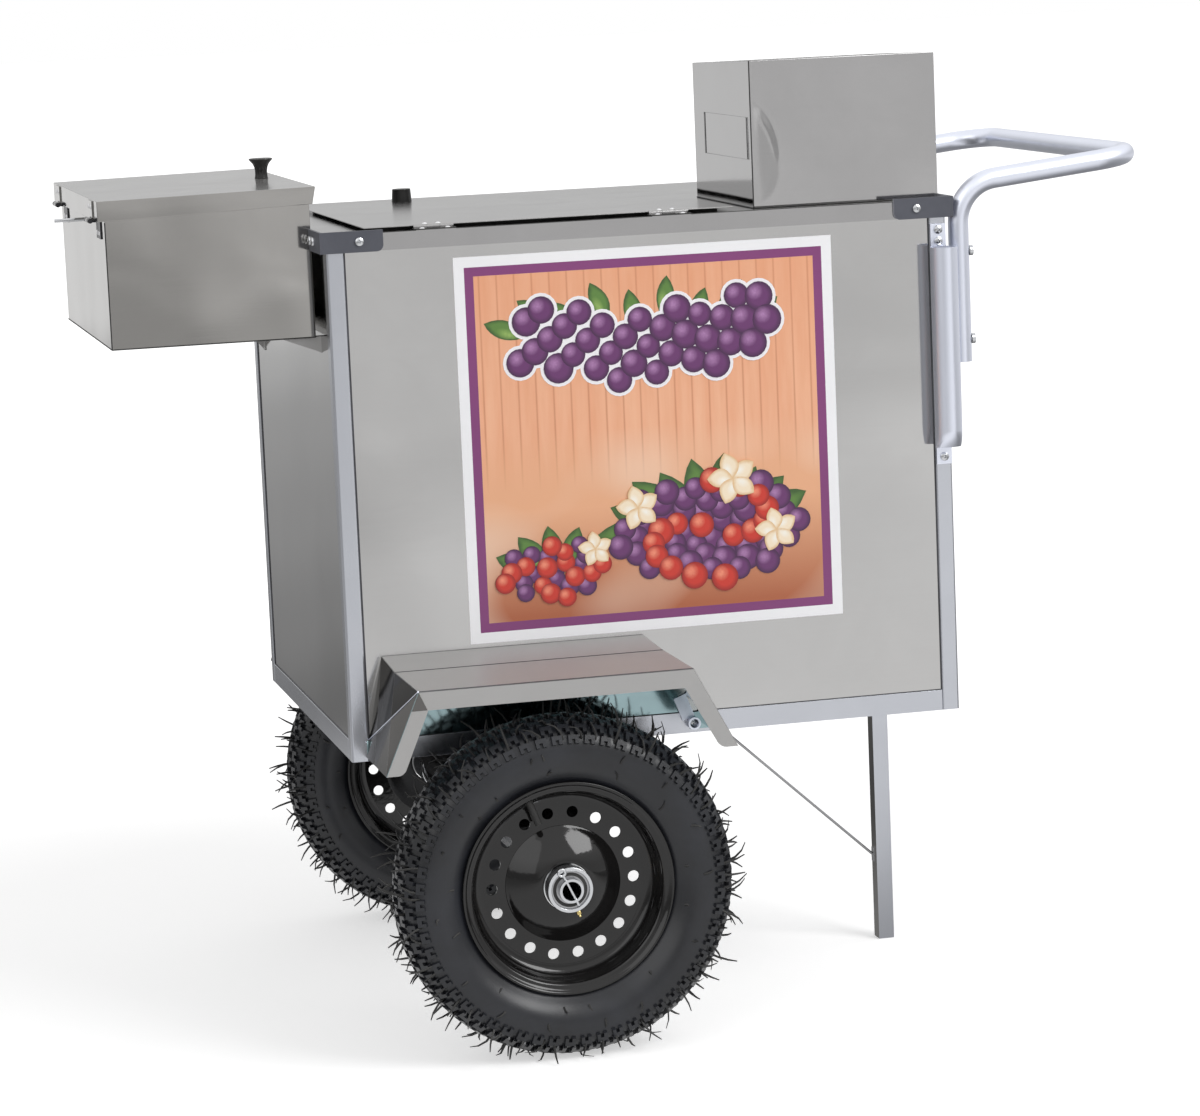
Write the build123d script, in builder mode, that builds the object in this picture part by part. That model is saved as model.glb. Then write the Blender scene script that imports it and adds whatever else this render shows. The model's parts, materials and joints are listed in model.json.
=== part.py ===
from build123d import *
import math
import os

# Street vending cart for frozen berry cream: an insulated box on two wheels.
# X runs along the cart towards the push handle, Y away from the label side and Z up from the floor.
# The origin is on the floor, in the middle of the overall length and width. All sizes are in millimetres.

os.makedirs("parts", exist_ok=True)

# Body shell
BODY_LENGTH = 665
BODY_WIDTH = 516
DECK_RISE = 548.5  # underside of the bottom rails to the top of the deck
POST_SIZE = 19
POST_WALL = 1.6
POST_ROUND = 2.5
RAIL_HEIGHT = 22
SHEET = 1.0
PANEL_RECESS = 1.5
SKIRT_HEIGHT = 18
DECK_OVERHANG = 4
BATTEN_WIDTH = 24
FOAM_WALL = 30
FOAM_FLOOR = 40
SEAT_GAP = 0.3

# Corner brackets and pan-head screws
BRACKET_LEG = 66
BRACKET_HEIGHT = 22
BRACKET_LIP = 3.5  # how far a bracket stands above the deck
BRACKET_SHEET = 3
BRACKET_ROUND = 7
BRACKET_SCREW_INSET = 41
BRACKET_SIDE_SCREWS = (39, 56)
SCREW_HEAD = 9.5
SCREW_HEAD_HEIGHT = 3
SCREW_SHANK = 4.6
SCREW_GRIP = 9
SCREW_CLEARANCE = 0.1

# Main lid, its seal and its two hinges
LID_WIDTH = 404
LID_FROM_END = 43
LID_TO_CUP = 24.5
LID_FROM_NEAR = 14
LID_SHEET = 1.2
LID_GAP = 3.5
LID_LAP = 22
LID_PLUG_CLEARANCE = 5
LID_PLUG_DEPTH = 32
SEAL_WIDTH = 8
LID_KNOB_RADIUS = 11.3
LID_KNOB_TOP_RADIUS = 10.3
LID_KNOB_HEIGHT = 14
LID_KNOB_ROUND = 1
LID_KNOB_FROM_END = 116
LID_KNOB_FROM_EDGE = 14
LID_HINGE_LENGTH = 42
LID_HINGE_FROM_END = 72
LID_LEAF_WIDTH = 12
LEAF_SHEET = 1.2
KNUCKLE_RADIUS = 2.6
PIN_RADIUS = 1.3
PIN_CLEARANCE = 0.06
KNUCKLE_GAP = 0.4
KNUCKLE_OFFSET = 3.4  # hinge axis to the edge of the part that it carries

# Topping box on the left end
TOPPING_LENGTH = 212
TOPPING_SIDE_GAP = 1  # to the corner bracket on each side
TOPPING_HEIGHT = 151.5  # at the hinged end
TOPPING_RISE = 440  # underside of the rails to the box floor
TOPPING_SLOPE = 3  # how much higher the box is at its right end
TOPPING_GAP = 4.4
TOPPING_LID_SKIRT = 21
TOPPING_LID_SKIRT_RIGHT = 18
TOPPING_LID_OUT_LEFT = 7.5
TOPPING_LID_OUT_RIGHT = 7
TOPPING_LID_OUT_SIDE = 2.5
TOPPING_HINGE_LENGTH = 34
TOPPING_HINGE_INSET = 48
TOPPING_LEAF_HEIGHT = 19
TOPPING_KNOB_BASE = 7.5
TOPPING_KNOB_TOP = 12.8
TOPPING_KNOB_HEIGHT = 22
TOPPING_KNOB_WAIST = 0.5  # shares of its height
TOPPING_KNOB_RIM = 0.85
TOPPING_KNOB_FROM_END = 24
STOP_RADIUS = 2
STOP_LENGTH = 30
STOP_DROP = 8.5  # hinge axis to the centre of the stop rod
GUSSET_REACH = 34
GUSSET_DROPS = (17, 48)  # near gusset, far gusset
GUSSET_FLANGE = 12
GUSSET_INSET = 4

# Cup box on the deck
CUP_LENGTH = 203.5
CUP_WIDTH = 227
CUP_HEIGHT = 154.5
CUP_BACK_DROP = 6.5
CUP_FROM_NEAR = 23
CUP_WINDOW_WIDTH = 176
CUP_WINDOW_HEIGHT = 44
CUP_WINDOW_FROM_NEAR = 10
CUP_WINDOW_RISE = 51

# Umbrella holder on the near right post
STRAP_WIDTH = 17
STRAP_SHEET = 2.5
STRAP_LOW = 267
STRAP_HEIGHT = 256
SOCKET_DIAMETER = 28.6
SOCKET_WALL = 1.5
SOCKET_LENGTH = 213
SOCKET_LOW = 287
SOCKET_FLOOR = 12
SOCKET_WEB = 8
POLE_CLEARANCE = 0.5  # pole to the corner bracket that it passes
STRAP_SCREWS = (8, 238, 250)  # heights above the lower end of the strap

# Push handle
HANDLE_DIAMETER = 22
HANDLE_WALL = 1.6
HANDLE_STANDOFF = 6.8
HANDLE_REACH = 221
HANDLE_LOW = 374
HANDLE_ARM_RISE = 562.8
HANDLE_TILT = 6
HANDLE_BEND = 46
HANDLE_INSET = 11.5
HANDLE_BOLT_FROM_LOW = 24
HANDLE_BOLT_FROM_BEND = 29.4
BOLT_SHANK = 6
BOLT_HEAD = 11
BOLT_HEAD_HEIGHT = 4

# Wheels and axle
TYRE_RADIUS = 180
TYRE_WIDTH = 86
TYRE_WALL = 7
SHOULDER_OUT = 0.43  # shares of the tyre's width
SHOULDER_DROP = 0.15
TREAD_WALL = 1.4  # tread's thickness as a share of the wall
WHEEL_OUT = 72.5  # face of the body to the middle of a wheel
AXLE_FROM_END = 202
AXLE_DROP = 131.5  # underside of the rails to the axle
AXLE_RADIUS = 12.7
AXLE_WALL = 2.6
AXLE_END = 42
RIM_FLANGE_RADIUS = 113
RIM_HALF_WIDTH = 31
RIM_SEAT_RADIUS = 101
RIM_WELL_RADIUS = 94
RIM_SHEET = 2.4
WELL_OUT = 0.62  # shares of the rim's half width
WELL_FLOOR_OUT = 0.5
RIM_HOLE_COUNT = 18
RIM_HOLE_CIRCLE = 75.75
RIM_HOLE_RADIUS = 6
DOME_RADIUS = 62
DOME_RISE = 21
DOME_SHOULDER_RISE = 0.7  # shares of the dome's rise and radius
DOME_SHOULDER = 0.75
DOME_CROWN = 0.58
HUB_RADIUS = 24
HUB_HALF_LENGTH = 37
HUB_CORE_RADIUS = 15
BEARING_RADIUS = 20
BEARING_WIDTH = 12
BEARING_RECESS = 3
FIT = 0.05
TUBE_RADIUS = 27
TUBE_WALL = 2
STEM_ROOT = 0.8  # share of the tube's radius
VALVE_RADIUS = 4
VALVE_TIP_RADIUS = 72
VALVE_OFFSET = 13
VALVE_ANGLE = 111
COLLAR_RADIUS = 17
HANGER_SHEET = 6
HANGER_TOP = 130
HANGER_FOOT_RADIUS = 24
HANGER_FLANGE = 4
SPLIT_PIN_RADIUS = 1.5
SPLIT_PIN_LENGTH = 36
SPLIT_PIN_EYE = 5
SPLIT_PIN_TILT = 25

# Fenders, as fold lines of one bent sheet: outward reach and height above the rail underside
FENDER_SHEET = 1.2
FENDER_FOLDS = ((0, 108.5), (45, 98.5), (110, 88.5))
FENDER_FLANGE = 19
FENDER_LEFT_CORNERS = (37, 42, 53, 62)  # back edge, first fold, second fold, flange edge
FENDER_RIGHT_CORNERS = (317, 327, 342, 332)
FENDER_LEFT_FOOT = 16
FENDER_RIGHT_FOOT = 386
FENDER_FOOT_FLANGE = 18
FENDER_FOOT_RISE = 4
FENDER_TAB = 22
FENDER_BOLTS = (26, 367)
FENDER_BOLT_RISE = 11

# Support leg and its stay
LEG_SIZE = 18
LEG_WALL = 1.6
LEG_INSET = 3
LEG_PLATE = 60
LEG_PLATE_SHEET = 3
STAY_RADIUS = 1.5
STAY_FROM_END = 415
STAY_LOW = 98
STAY_PLATE = 2
STAY_PLATE_LENGTH = 16
STAY_PLATE_WIDTH = 8

# Printed label on the near panel
LABEL_WIDTH = 406
LABEL_HEIGHT = 404
LABEL_FROM_END = 132
LABEL_RISE = 114
LABEL_SHEET = 0.3

# Main planes of the cart
right_reach = BODY_LENGTH + HANDLE_REACH + HANDLE_DIAMETER / 2
left_reach = TOPPING_GAP + TOPPING_LENGTH + STOP_LENGTH
x_left = (left_reach - right_reach) / 2
x_right = x_left + BODY_LENGTH
x_middle = (x_left + x_right) / 2
y_near = -BODY_WIDTH / 2
axle_x = x_left + AXLE_FROM_END
axle_z = TYRE_RADIUS
underside = axle_z + AXLE_DROP
rail_top = underside + RAIL_HEIGHT
deck_top = underside + DECK_RISE
batten_top = deck_top - SHEET
batten_low = deck_top - SKIRT_HEIGHT
half_track = BODY_WIDTH / 2 + WHEEL_OUT
panel_out = BODY_WIDTH / 2 - PANEL_RECESS
panel_in = panel_out - SHEET
end_panel_in = BODY_LENGTH / 2 - PANEL_RECESS - SHEET
deck_length = BODY_LENGTH + 2 * DECK_OVERHANG
deck_width = BODY_WIDTH + 2 * DECK_OVERHANG


def keep(piece, name):
    """Label a finished sub-part and write it."""
    piece.part.label = name
    export_step(piece.part, f"parts/{name}.step")


def block(x0, x1, y0, y1, z0, z1, mode=Mode.ADD):
    """Draw a rectangle on the XY plane at z0 and raise it to z1, inside the open part."""
    with BuildSketch(Plane.XY.offset(z0)) as outline:
        with Locations(((x0 + x1) / 2, (y0 + y1) / 2)):
            Rectangle(x1 - x0, y1 - y0)
    extrude(outline.sketch, amount=z1 - z0, mode=mode)


def rod(plane, radius, length, mode=Mode.ADD):
    """Raise a round rod from a plane, inside the open part."""
    with BuildSketch(plane) as outline:
        Circle(radius)
    extrude(outline.sketch, amount=length, mode=mode)


def outward(x, y, z, direction):
    """A plane at a point, facing a direction."""
    return Plane(origin=(x, y, z), z_dir=direction)


# Screw places: each is a plane on the seat of the head, facing out
bracket_mid = deck_top + BRACKET_LIP - BRACKET_HEIGHT / 2
bracket_screws = []
for end in (-1, 1):
    for side in (-1, 1):
        corner_x = x_middle + end * deck_length / 2
        corner_y = side * deck_width / 2
        front_x = corner_x - end * (BRACKET_SCREW_INSET - BRACKET_SHEET)
        front_y = corner_y + side * BRACKET_SHEET
        bracket_screws.append(outward(front_x, front_y, bracket_mid, (0, side, 0)))
        for inset in BRACKET_SIDE_SCREWS:
            side_y = corner_y - side * (inset - BRACKET_SHEET)
            bracket_screws.append(outward(corner_x + end * BRACKET_SHEET, side_y, bracket_mid, (end, 0, 0)))

strap_x = x_right - POST_SIZE / 2
strap_face = y_near - STRAP_SHEET
strap_low = underside + STRAP_LOW
strap_screws = [outward(strap_x, strap_face, strap_low + rise, (0, -1, 0)) for rise in STRAP_SCREWS]

topping_right = x_left - TOPPING_GAP
topping_left = topping_right - TOPPING_LENGTH
topping_floor = underside + TOPPING_RISE
topping_half = deck_width / 2 + BRACKET_SHEET - BRACKET_LEG - TOPPING_SIDE_GAP
gusset_y = topping_half - GUSSET_INSET
gusset_screws = []
for side, drop in zip((-1, 1), GUSSET_DROPS):
    screw_y = side * (gusset_y - GUSSET_FLANGE / 2)
    screw_z = topping_floor - drop / 2 - SHEET
    gusset_screws.append(outward(x_left + PANEL_RECESS - SHEET - SEAT_GAP, screw_y, screw_z, (-1, 0, 0)))

fender_bolts = []
for side in (-1, 1):
    for along in FENDER_BOLTS:
        bolt_y = side * (BODY_WIDTH / 2 + FENDER_SHEET)
        fender_bolts.append(outward(x_left + along, bolt_y, underside + FENDER_BOLT_RISE, (0, side, 0)))


def screw_holes(planes, depth):
    """Cut clearance holes for screws through the open part."""
    for plane in planes:
        rod(plane, SCREW_SHANK / 2 + SCREW_CLEARANCE, -depth, mode=Mode.SUBTRACT)


# Corner posts: square tubes from the bottom of the rails to the top batten
post_names = {(-1, -1): "near_left", (1, -1): "near_right", (-1, 1): "far_left", (1, 1): "far_right"}
handle_bend_rise = HANDLE_BEND * math.tan(math.radians(90 - HANDLE_TILT) / 2)
handle_bolt_z = [
    underside + HANDLE_LOW + HANDLE_BOLT_FROM_LOW,
    underside + HANDLE_ARM_RISE - handle_bend_rise - HANDLE_BOLT_FROM_BEND,
]
handle_y = BODY_WIDTH / 2 - HANDLE_INSET
for (end, side), place in post_names.items():
    post_x = x_middle + end * (BODY_LENGTH - POST_SIZE) / 2
    post_y = side * (BODY_WIDTH - POST_SIZE) / 2
    with BuildPart() as post:
        with BuildSketch(Plane.XY.offset(underside)):
            with Locations((post_x, post_y)):
                RectangleRounded(POST_SIZE, POST_SIZE, POST_ROUND)
                inner = POST_SIZE - 2 * POST_WALL
                Rectangle(inner, inner, mode=Mode.SUBTRACT)
        extrude(amount=batten_low - underside)
        if end == 1:
            for bolt_z in handle_bolt_z:
                bolt_plane = outward(x_right, side * handle_y, bolt_z, (1, 0, 0))
                rod(bolt_plane, BOLT_SHANK / 2 + SCREW_CLEARANCE, -2 * POST_WALL, mode=Mode.SUBTRACT)
        if (end, side) == (1, -1):
            screw_holes(strap_screws, SCREW_GRIP)
    keep(post, f"post_{place}")

# Bottom rails and the crossbar that takes the stay
for side, place in ((-1, "near"), (1, "far")):
    with BuildPart() as rail:
        with BuildSketch(Plane.YZ.offset(x_left + POST_SIZE)):
            with Locations((side * (BODY_WIDTH - POST_SIZE) / 2, underside + RAIL_HEIGHT / 2)):
                Rectangle(POST_SIZE, RAIL_HEIGHT)
                Rectangle(POST_SIZE - 2 * POST_WALL, RAIL_HEIGHT - 2 * POST_WALL, mode=Mode.SUBTRACT)
        extrude(amount=BODY_LENGTH - 2 * POST_SIZE)
        screw_holes([plane for plane in fender_bolts if plane.z_dir.Y == side], SCREW_GRIP)
    keep(rail, f"rail_{place}")

rail_span = BODY_WIDTH - 2 * POST_SIZE
stay_x = x_left + STAY_FROM_END
rail_centres = {
    "rail_left": x_left + POST_SIZE / 2,
    "rail_right": x_right - POST_SIZE / 2,
    "floor_crossbar": stay_x,
}
for name, centre_x in rail_centres.items():
    with BuildPart() as rail:
        with BuildSketch(Plane.XZ.offset(-rail_span / 2)):
            with Locations((centre_x, underside + RAIL_HEIGHT / 2)):
                Rectangle(POST_SIZE, RAIL_HEIGHT)
                Rectangle(POST_SIZE - 2 * POST_WALL, RAIL_HEIGHT - 2 * POST_WALL, mode=Mode.SUBTRACT)
        extrude(amount=rail_span)
    keep(rail, name)

# Outer panels, set back from the faces of the posts
panel_span = BODY_LENGTH - 2 * POST_SIZE
for side, place in ((-1, "near"), (1, "far")):
    with BuildPart() as panel:
        y0, y1 = sorted((side * panel_out, side * panel_in))
        block(x_middle - panel_span / 2, x_middle + panel_span / 2, y0, y1, rail_top, batten_low)
    keep(panel, f"panel_{place}")

for end, place in ((-1, "left"), (1, "right")):
    with BuildPart() as panel:
        x0, x1 = sorted((x_middle + end * (end_panel_in + SHEET), x_middle + end * end_panel_in))
        block(x0, x1, -rail_span / 2, rail_span / 2, rail_top, batten_low)
        if end == -1:
            screw_holes(gusset_screws, SCREW_GRIP)
    keep(panel, f"panel_{place}")


def body_section(level, height, mode=Mode.ADD):
    """Raise the plan of the body between its panels, notched for the four posts."""
    with BuildSketch(Plane.XY.offset(level)) as outline:
        with Locations((x_middle, 0)):
            Rectangle(2 * end_panel_in, 2 * panel_in)
            with GridLocations(BODY_LENGTH - POST_SIZE, BODY_WIDTH - POST_SIZE, 2, 2):
                Rectangle(POST_SIZE, POST_SIZE, mode=Mode.SUBTRACT)
    extrude(outline.sketch, amount=height, mode=mode)


with BuildPart() as floor_panel:
    body_section(rail_top, SHEET)
keep(floor_panel, "floor_panel")

# Inner tank and the foam that fills the space around it
tank_length = BODY_LENGTH - 2 * FOAM_WALL
tank_width = BODY_WIDTH - 2 * FOAM_WALL
tank_floor = rail_top + SHEET + FOAM_FLOOR
batten_inner_length = deck_length - 2 * SHEET - 2 * BATTEN_WIDTH
batten_inner_width = deck_width - 2 * SHEET - 2 * BATTEN_WIDTH

with BuildPart() as insulation:
    body_section(rail_top + SHEET, batten_low - rail_top - SHEET)
    with BuildSketch(Plane.XY.offset(batten_low)):
        with Locations((x_middle, 0)):
            Rectangle(batten_inner_length, batten_inner_width)
    extrude(amount=batten_top - SHEET - batten_low)
    with BuildSketch(Plane.XY.offset(tank_floor)):
        with Locations((x_middle, 0)):
            Rectangle(tank_length, tank_width)
    extrude(amount=deck_top - tank_floor, mode=Mode.SUBTRACT)
    screw_holes(gusset_screws, SCREW_GRIP)
keep(insulation, "insulation")

with BuildPart() as inner_tank:
    with BuildSketch(Plane.XY.offset(tank_floor)):
        with Locations((x_middle, 0)):
            Rectangle(tank_length, tank_width)
    extrude(amount=batten_top - tank_floor)
    with BuildSketch(Plane.XY.offset(batten_top - SHEET)):
        with Locations((x_middle, 0)):
            Rectangle(batten_inner_length, batten_inner_width)
    extrude(amount=SHEET)
    with BuildSketch(Plane.XY.offset(tank_floor + SHEET)):
        with Locations((x_middle, 0)):
            Rectangle(tank_length - 2 * SHEET, tank_width - 2 * SHEET)
    extrude(amount=deck_top - tank_floor, mode=Mode.SUBTRACT)
keep(inner_tank, "inner_tank")

# Top batten frame and the folded deck over it, open under the main lid
lid_x0 = x_left + LID_FROM_END
lid_x1 = x_right - CUP_LENGTH - LID_TO_CUP
lid_y0 = y_near + LID_FROM_NEAR
lid_y1 = lid_y0 + LID_WIDTH

with BuildPart() as top_batten:
    with BuildSketch(Plane.XY.offset(batten_low)):
        with Locations((x_middle, 0)):
            Rectangle(deck_length - 2 * SHEET, deck_width - 2 * SHEET)
            Rectangle(batten_inner_length, batten_inner_width, mode=Mode.SUBTRACT)
    extrude(amount=batten_top - batten_low)
    screw_holes(bracket_screws, SCREW_GRIP)
keep(top_batten, "top_batten")

with BuildPart() as top_deck:
    with BuildSketch(Plane.XY.offset(batten_low)):
        with Locations((x_middle, 0)):
            RectangleRounded(deck_length, deck_width, SHEET)
    extrude(amount=SKIRT_HEIGHT)
    with BuildSketch(Plane.XY.offset(batten_low)):
        with Locations((x_middle, 0)):
            Rectangle(deck_length - 2 * SHEET, deck_width - 2 * SHEET)
    extrude(amount=batten_top - batten_low, mode=Mode.SUBTRACT)
    block(
        lid_x0 + LID_LAP,
        lid_x1 - LID_LAP,
        lid_y0 + LID_LAP,
        lid_y1 - LID_LAP,
        batten_low,
        deck_top + SHEET,
        mode=Mode.SUBTRACT,
    )
    screw_holes(bracket_screws, SCREW_GRIP)
keep(top_deck, "top_deck")

# Four corner brackets round the skirt, with rounded lower ends
bracket_low = deck_top + BRACKET_LIP - BRACKET_HEIGHT
with BuildPart() as corner_brackets:
    outer_x = x_middle - deck_length / 2 - BRACKET_SHEET
    outer_y = -deck_width / 2 - BRACKET_SHEET
    with BuildSketch(Plane.XY.offset(bracket_low)):
        with Locations((outer_x, outer_y)):
            Rectangle(BRACKET_LEG, BRACKET_LEG, align=Align.MIN)
        with Locations((outer_x + BRACKET_SHEET, outer_y + BRACKET_SHEET)):
            Rectangle(BRACKET_LEG, BRACKET_LEG, align=Align.MIN, mode=Mode.SUBTRACT)
    extrude(amount=BRACKET_HEIGHT)
    front_end = corner_brackets.edges().filter_by(Axis.Y).group_by(Axis.X)[-1].sort_by(Axis.Z)[0]
    side_end = corner_brackets.edges().filter_by(Axis.X).group_by(Axis.Y)[-1].sort_by(Axis.Z)[0]
    fillet([front_end, side_end], BRACKET_ROUND)
    mirror(about=Plane.XZ)
    mirror(about=Plane.YZ.offset(x_middle))
    screw_holes(bracket_screws, SCREW_GRIP)
keep(corner_brackets, "corner_brackets")

with BuildPart() as pan_screws:
    for plane in bracket_screws + strap_screws + gusset_screws + fender_bolts:
        rod(plane, SCREW_SHANK / 2, -SCREW_GRIP + SCREW_CLEARANCE)
        rod(plane, SCREW_HEAD / 2, SCREW_HEAD_HEIGHT)
keep(pan_screws, "pan_screws")

# Label sheet on the near panel
with BuildPart() as side_label:
    block(
        x_left + LABEL_FROM_END,
        x_left + LABEL_FROM_END + LABEL_WIDTH,
        -panel_out - LABEL_SHEET,
        -panel_out,
        underside + LABEL_RISE,
        underside + LABEL_RISE + LABEL_HEIGHT,
    )
keep(side_label, "side_label")

# Main lid: outer sheet, foam plug in a pan, knob, and the seal on the deck
lid_low = deck_top + LID_GAP
lid_top = lid_low + LID_SHEET
plug_inset = LID_LAP + LID_PLUG_CLEARANCE
plug_x0, plug_x1 = lid_x0 + plug_inset, lid_x1 - plug_inset
plug_y0, plug_y1 = lid_y0 + plug_inset, lid_y1 - plug_inset
plug_low = lid_low - LID_PLUG_DEPTH

with BuildPart() as lid_seal:
    seal_out = LID_LAP - SEAL_WIDTH
    block(
        lid_x0 + seal_out,
        lid_x1 - seal_out,
        lid_y0 + seal_out,
        lid_y1 - seal_out,
        deck_top,
        lid_low - SEAT_GAP,
    )
    block(
        lid_x0 + LID_LAP,
        lid_x1 - LID_LAP,
        lid_y0 + LID_LAP,
        lid_y1 - LID_LAP,
        deck_top,
        lid_low,
        mode=Mode.SUBTRACT,
    )
keep(lid_seal, "lid_seal")

with BuildPart() as main_lid_top:
    block(lid_x0, lid_x1, lid_y0, lid_y1, lid_low, lid_top)
keep(main_lid_top, "main_lid_top")

with BuildPart() as main_lid_pan:
    block(plug_x0, plug_x1, plug_y0, plug_y1, plug_low, lid_low)
    block(
        plug_x0 + SHEET,
        plug_x1 - SHEET,
        plug_y0 + SHEET,
        plug_y1 - SHEET,
        plug_low + SHEET,
        lid_low,
        mode=Mode.SUBTRACT,
    )
keep(main_lid_pan, "main_lid_pan")

with BuildPart() as main_lid_foam:
    block(plug_x0 + SHEET, plug_x1 - SHEET, plug_y0 + SHEET, plug_y1 - SHEET, plug_low + SHEET, lid_low)
keep(main_lid_foam, "main_lid_foam")

with BuildPart() as main_lid_knob:
    knob_at = (lid_x0 + LID_KNOB_FROM_END, lid_y1 - LID_KNOB_FROM_EDGE)
    with BuildSketch(Plane.XY.offset(lid_top)):
        with Locations(knob_at):
            Circle(LID_KNOB_RADIUS)
    with BuildSketch(Plane.XY.offset(lid_top + LID_KNOB_HEIGHT)):
        with Locations(knob_at):
            Circle(LID_KNOB_TOP_RADIUS)
    loft()
    fillet(main_lid_knob.edges().sort_by(Axis.Z)[-1], LID_KNOB_ROUND)
keep(main_lid_knob, "main_lid_knob")

# Main lid hinges: axis along X at the near edge of the lid
hinge_y = lid_y0 - KNUCKLE_OFFSET
hinge_z = deck_top + KNUCKLE_RADIUS + SEAT_GAP
third = LID_HINGE_LENGTH / 3
lid_hinge_starts = [
    lid_x0 + LID_HINGE_FROM_END - LID_HINGE_LENGTH / 2,
    lid_x1 - LID_HINGE_FROM_END - LID_HINGE_LENGTH / 2,
]


def hinge_plane(start):
    """Plane facing +X on the main lid's hinge axis."""
    return Plane(origin=(start, hinge_y, hinge_z), x_dir=(0, 1, 0), z_dir=(1, 0, 0))


with BuildPart() as main_hinge_deck_leaves:
    for start in lid_hinge_starts:
        for offset in (0, 2 * third):
            rod(hinge_plane(start + offset), KNUCKLE_RADIUS, third)
        leaf_y1 = hinge_y - KNUCKLE_RADIUS - KNUCKLE_GAP
        block(
            start,
            start + LID_HINGE_LENGTH,
            leaf_y1 - LID_LEAF_WIDTH,
            leaf_y1,
            deck_top,
            deck_top + LEAF_SHEET,
        )
        for offset in (0, 2 * third):
            block(
                start + offset,
                start + offset + third,
                leaf_y1 - KNUCKLE_GAP,
                hinge_y,
                deck_top,
                deck_top + LEAF_SHEET,
            )
        rod(hinge_plane(start), PIN_RADIUS, LID_HINGE_LENGTH, mode=Mode.SUBTRACT)
keep(main_hinge_deck_leaves, "main_hinge_deck_leaves")

with BuildPart() as main_hinge_lid_leaves:
    for start in lid_hinge_starts:
        middle = start + third + KNUCKLE_GAP
        rod(hinge_plane(middle), KNUCKLE_RADIUS, third - 2 * KNUCKLE_GAP)
        leaf_y0 = hinge_y + KNUCKLE_RADIUS + KNUCKLE_GAP
        block(
            middle,
            middle + third - 2 * KNUCKLE_GAP,
            hinge_y,
            leaf_y0 + KNUCKLE_GAP,
            lid_low - LEAF_SHEET,
            lid_low,
        )
        block(
            start,
            start + LID_HINGE_LENGTH,
            leaf_y0,
            leaf_y0 + LID_LEAF_WIDTH,
            lid_low - LEAF_SHEET,
            lid_low,
        )
        rod(hinge_plane(start), PIN_RADIUS + PIN_CLEARANCE, LID_HINGE_LENGTH, mode=Mode.SUBTRACT)
keep(main_hinge_lid_leaves, "main_hinge_lid_leaves")

with BuildPart() as main_hinge_pins:
    for start in lid_hinge_starts:
        rod(hinge_plane(start), PIN_RADIUS, LID_HINGE_LENGTH)
keep(main_hinge_pins, "main_hinge_pins")

# Topping box, open at the top
topping_brim = topping_floor + TOPPING_HEIGHT
with BuildPart() as topping_box:
    with BuildSketch(Plane.XZ):
        with BuildLine():
            Polyline(
                (topping_left, topping_floor),
                (topping_right, topping_floor),
                (topping_right, topping_brim + TOPPING_SLOPE),
                (topping_left, topping_brim),
                close=True,
            )
        make_face()
    extrude(amount=topping_half, both=True)
    block(
        topping_left + SHEET,
        topping_right - SHEET,
        -topping_half + SHEET,
        topping_half - SHEET,
        topping_floor + SHEET,
        topping_brim + 2 * TOPPING_SLOPE,
        mode=Mode.SUBTRACT,
    )
keep(topping_box, "topping_box")

# Triangular gussets from the left end of the body to the floor of the topping box
with BuildPart() as topping_gussets:
    flange_x1 = x_left + PANEL_RECESS
    for side, drop in zip((-1, 1), GUSSET_DROPS):
        face_y = side * gusset_y
        with BuildSketch(Plane.XZ.offset(-face_y)):
            with BuildLine():
                Polyline(
                    (flange_x1, topping_floor),
                    (flange_x1, topping_floor - drop),
                    (topping_right - GUSSET_REACH, topping_floor - SHEET),
                    (topping_right - GUSSET_REACH, topping_floor),
                    close=True,
                )
            make_face()
        extrude(amount=side * SHEET)
        y0, y1 = sorted((face_y, face_y - side * GUSSET_FLANGE))
        block(flange_x1 - SHEET, flange_x1, y0, y1, topping_floor - drop, topping_floor)
        block(topping_right - GUSSET_REACH, flange_x1, y0, y1, topping_floor - SHEET, topping_floor)
    screw_holes(gusset_screws, SCREW_GRIP)
keep(topping_gussets, "topping_gussets")

# Topping lid: a shallow tray upside down over the box, level with its sloping brim
topping_lid_x0 = topping_left - TOPPING_LID_OUT_LEFT
topping_lid_x1 = topping_right + TOPPING_LID_OUT_RIGHT
topping_lid_half = topping_half + TOPPING_LID_OUT_SIDE
topping_pitch = TOPPING_SLOPE / TOPPING_LENGTH


def topping_lid_height(x):
    """Height of the outer top face of the topping lid."""
    return topping_brim + SEAT_GAP + SHEET + topping_pitch * (x - topping_left)


topping_lid_top0 = topping_lid_height(topping_lid_x0)
topping_lid_top1 = topping_lid_height(topping_lid_x1)
topping_lid_low = topping_lid_top0 - TOPPING_LID_SKIRT
topping_lid_low1 = topping_lid_top1 - TOPPING_LID_SKIRT_RIGHT
with BuildPart() as topping_lid:
    with BuildSketch(Plane.XZ):
        with BuildLine():
            Polyline(
                (topping_lid_x0, topping_lid_low),
                (topping_lid_x1, topping_lid_low1),
                (topping_lid_x1, topping_lid_top1),
                (topping_lid_x0, topping_lid_top0),
                close=True,
            )
        make_face()
    extrude(amount=topping_lid_half, both=True)
    with BuildSketch(Plane.XZ):
        with BuildLine():
            Polyline(
                (topping_lid_x0 + SHEET, topping_lid_low - TOPPING_LID_SKIRT),
                (topping_lid_x1 - SHEET, topping_lid_low - TOPPING_LID_SKIRT),
                (topping_lid_x1 - SHEET, topping_lid_top1 - SHEET),
                (topping_lid_x0 + SHEET, topping_lid_top0 - SHEET),
                close=True,
            )
        make_face()
    extrude(amount=topping_lid_half - SHEET, both=True, mode=Mode.SUBTRACT)
keep(topping_lid, "topping_lid")

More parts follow.
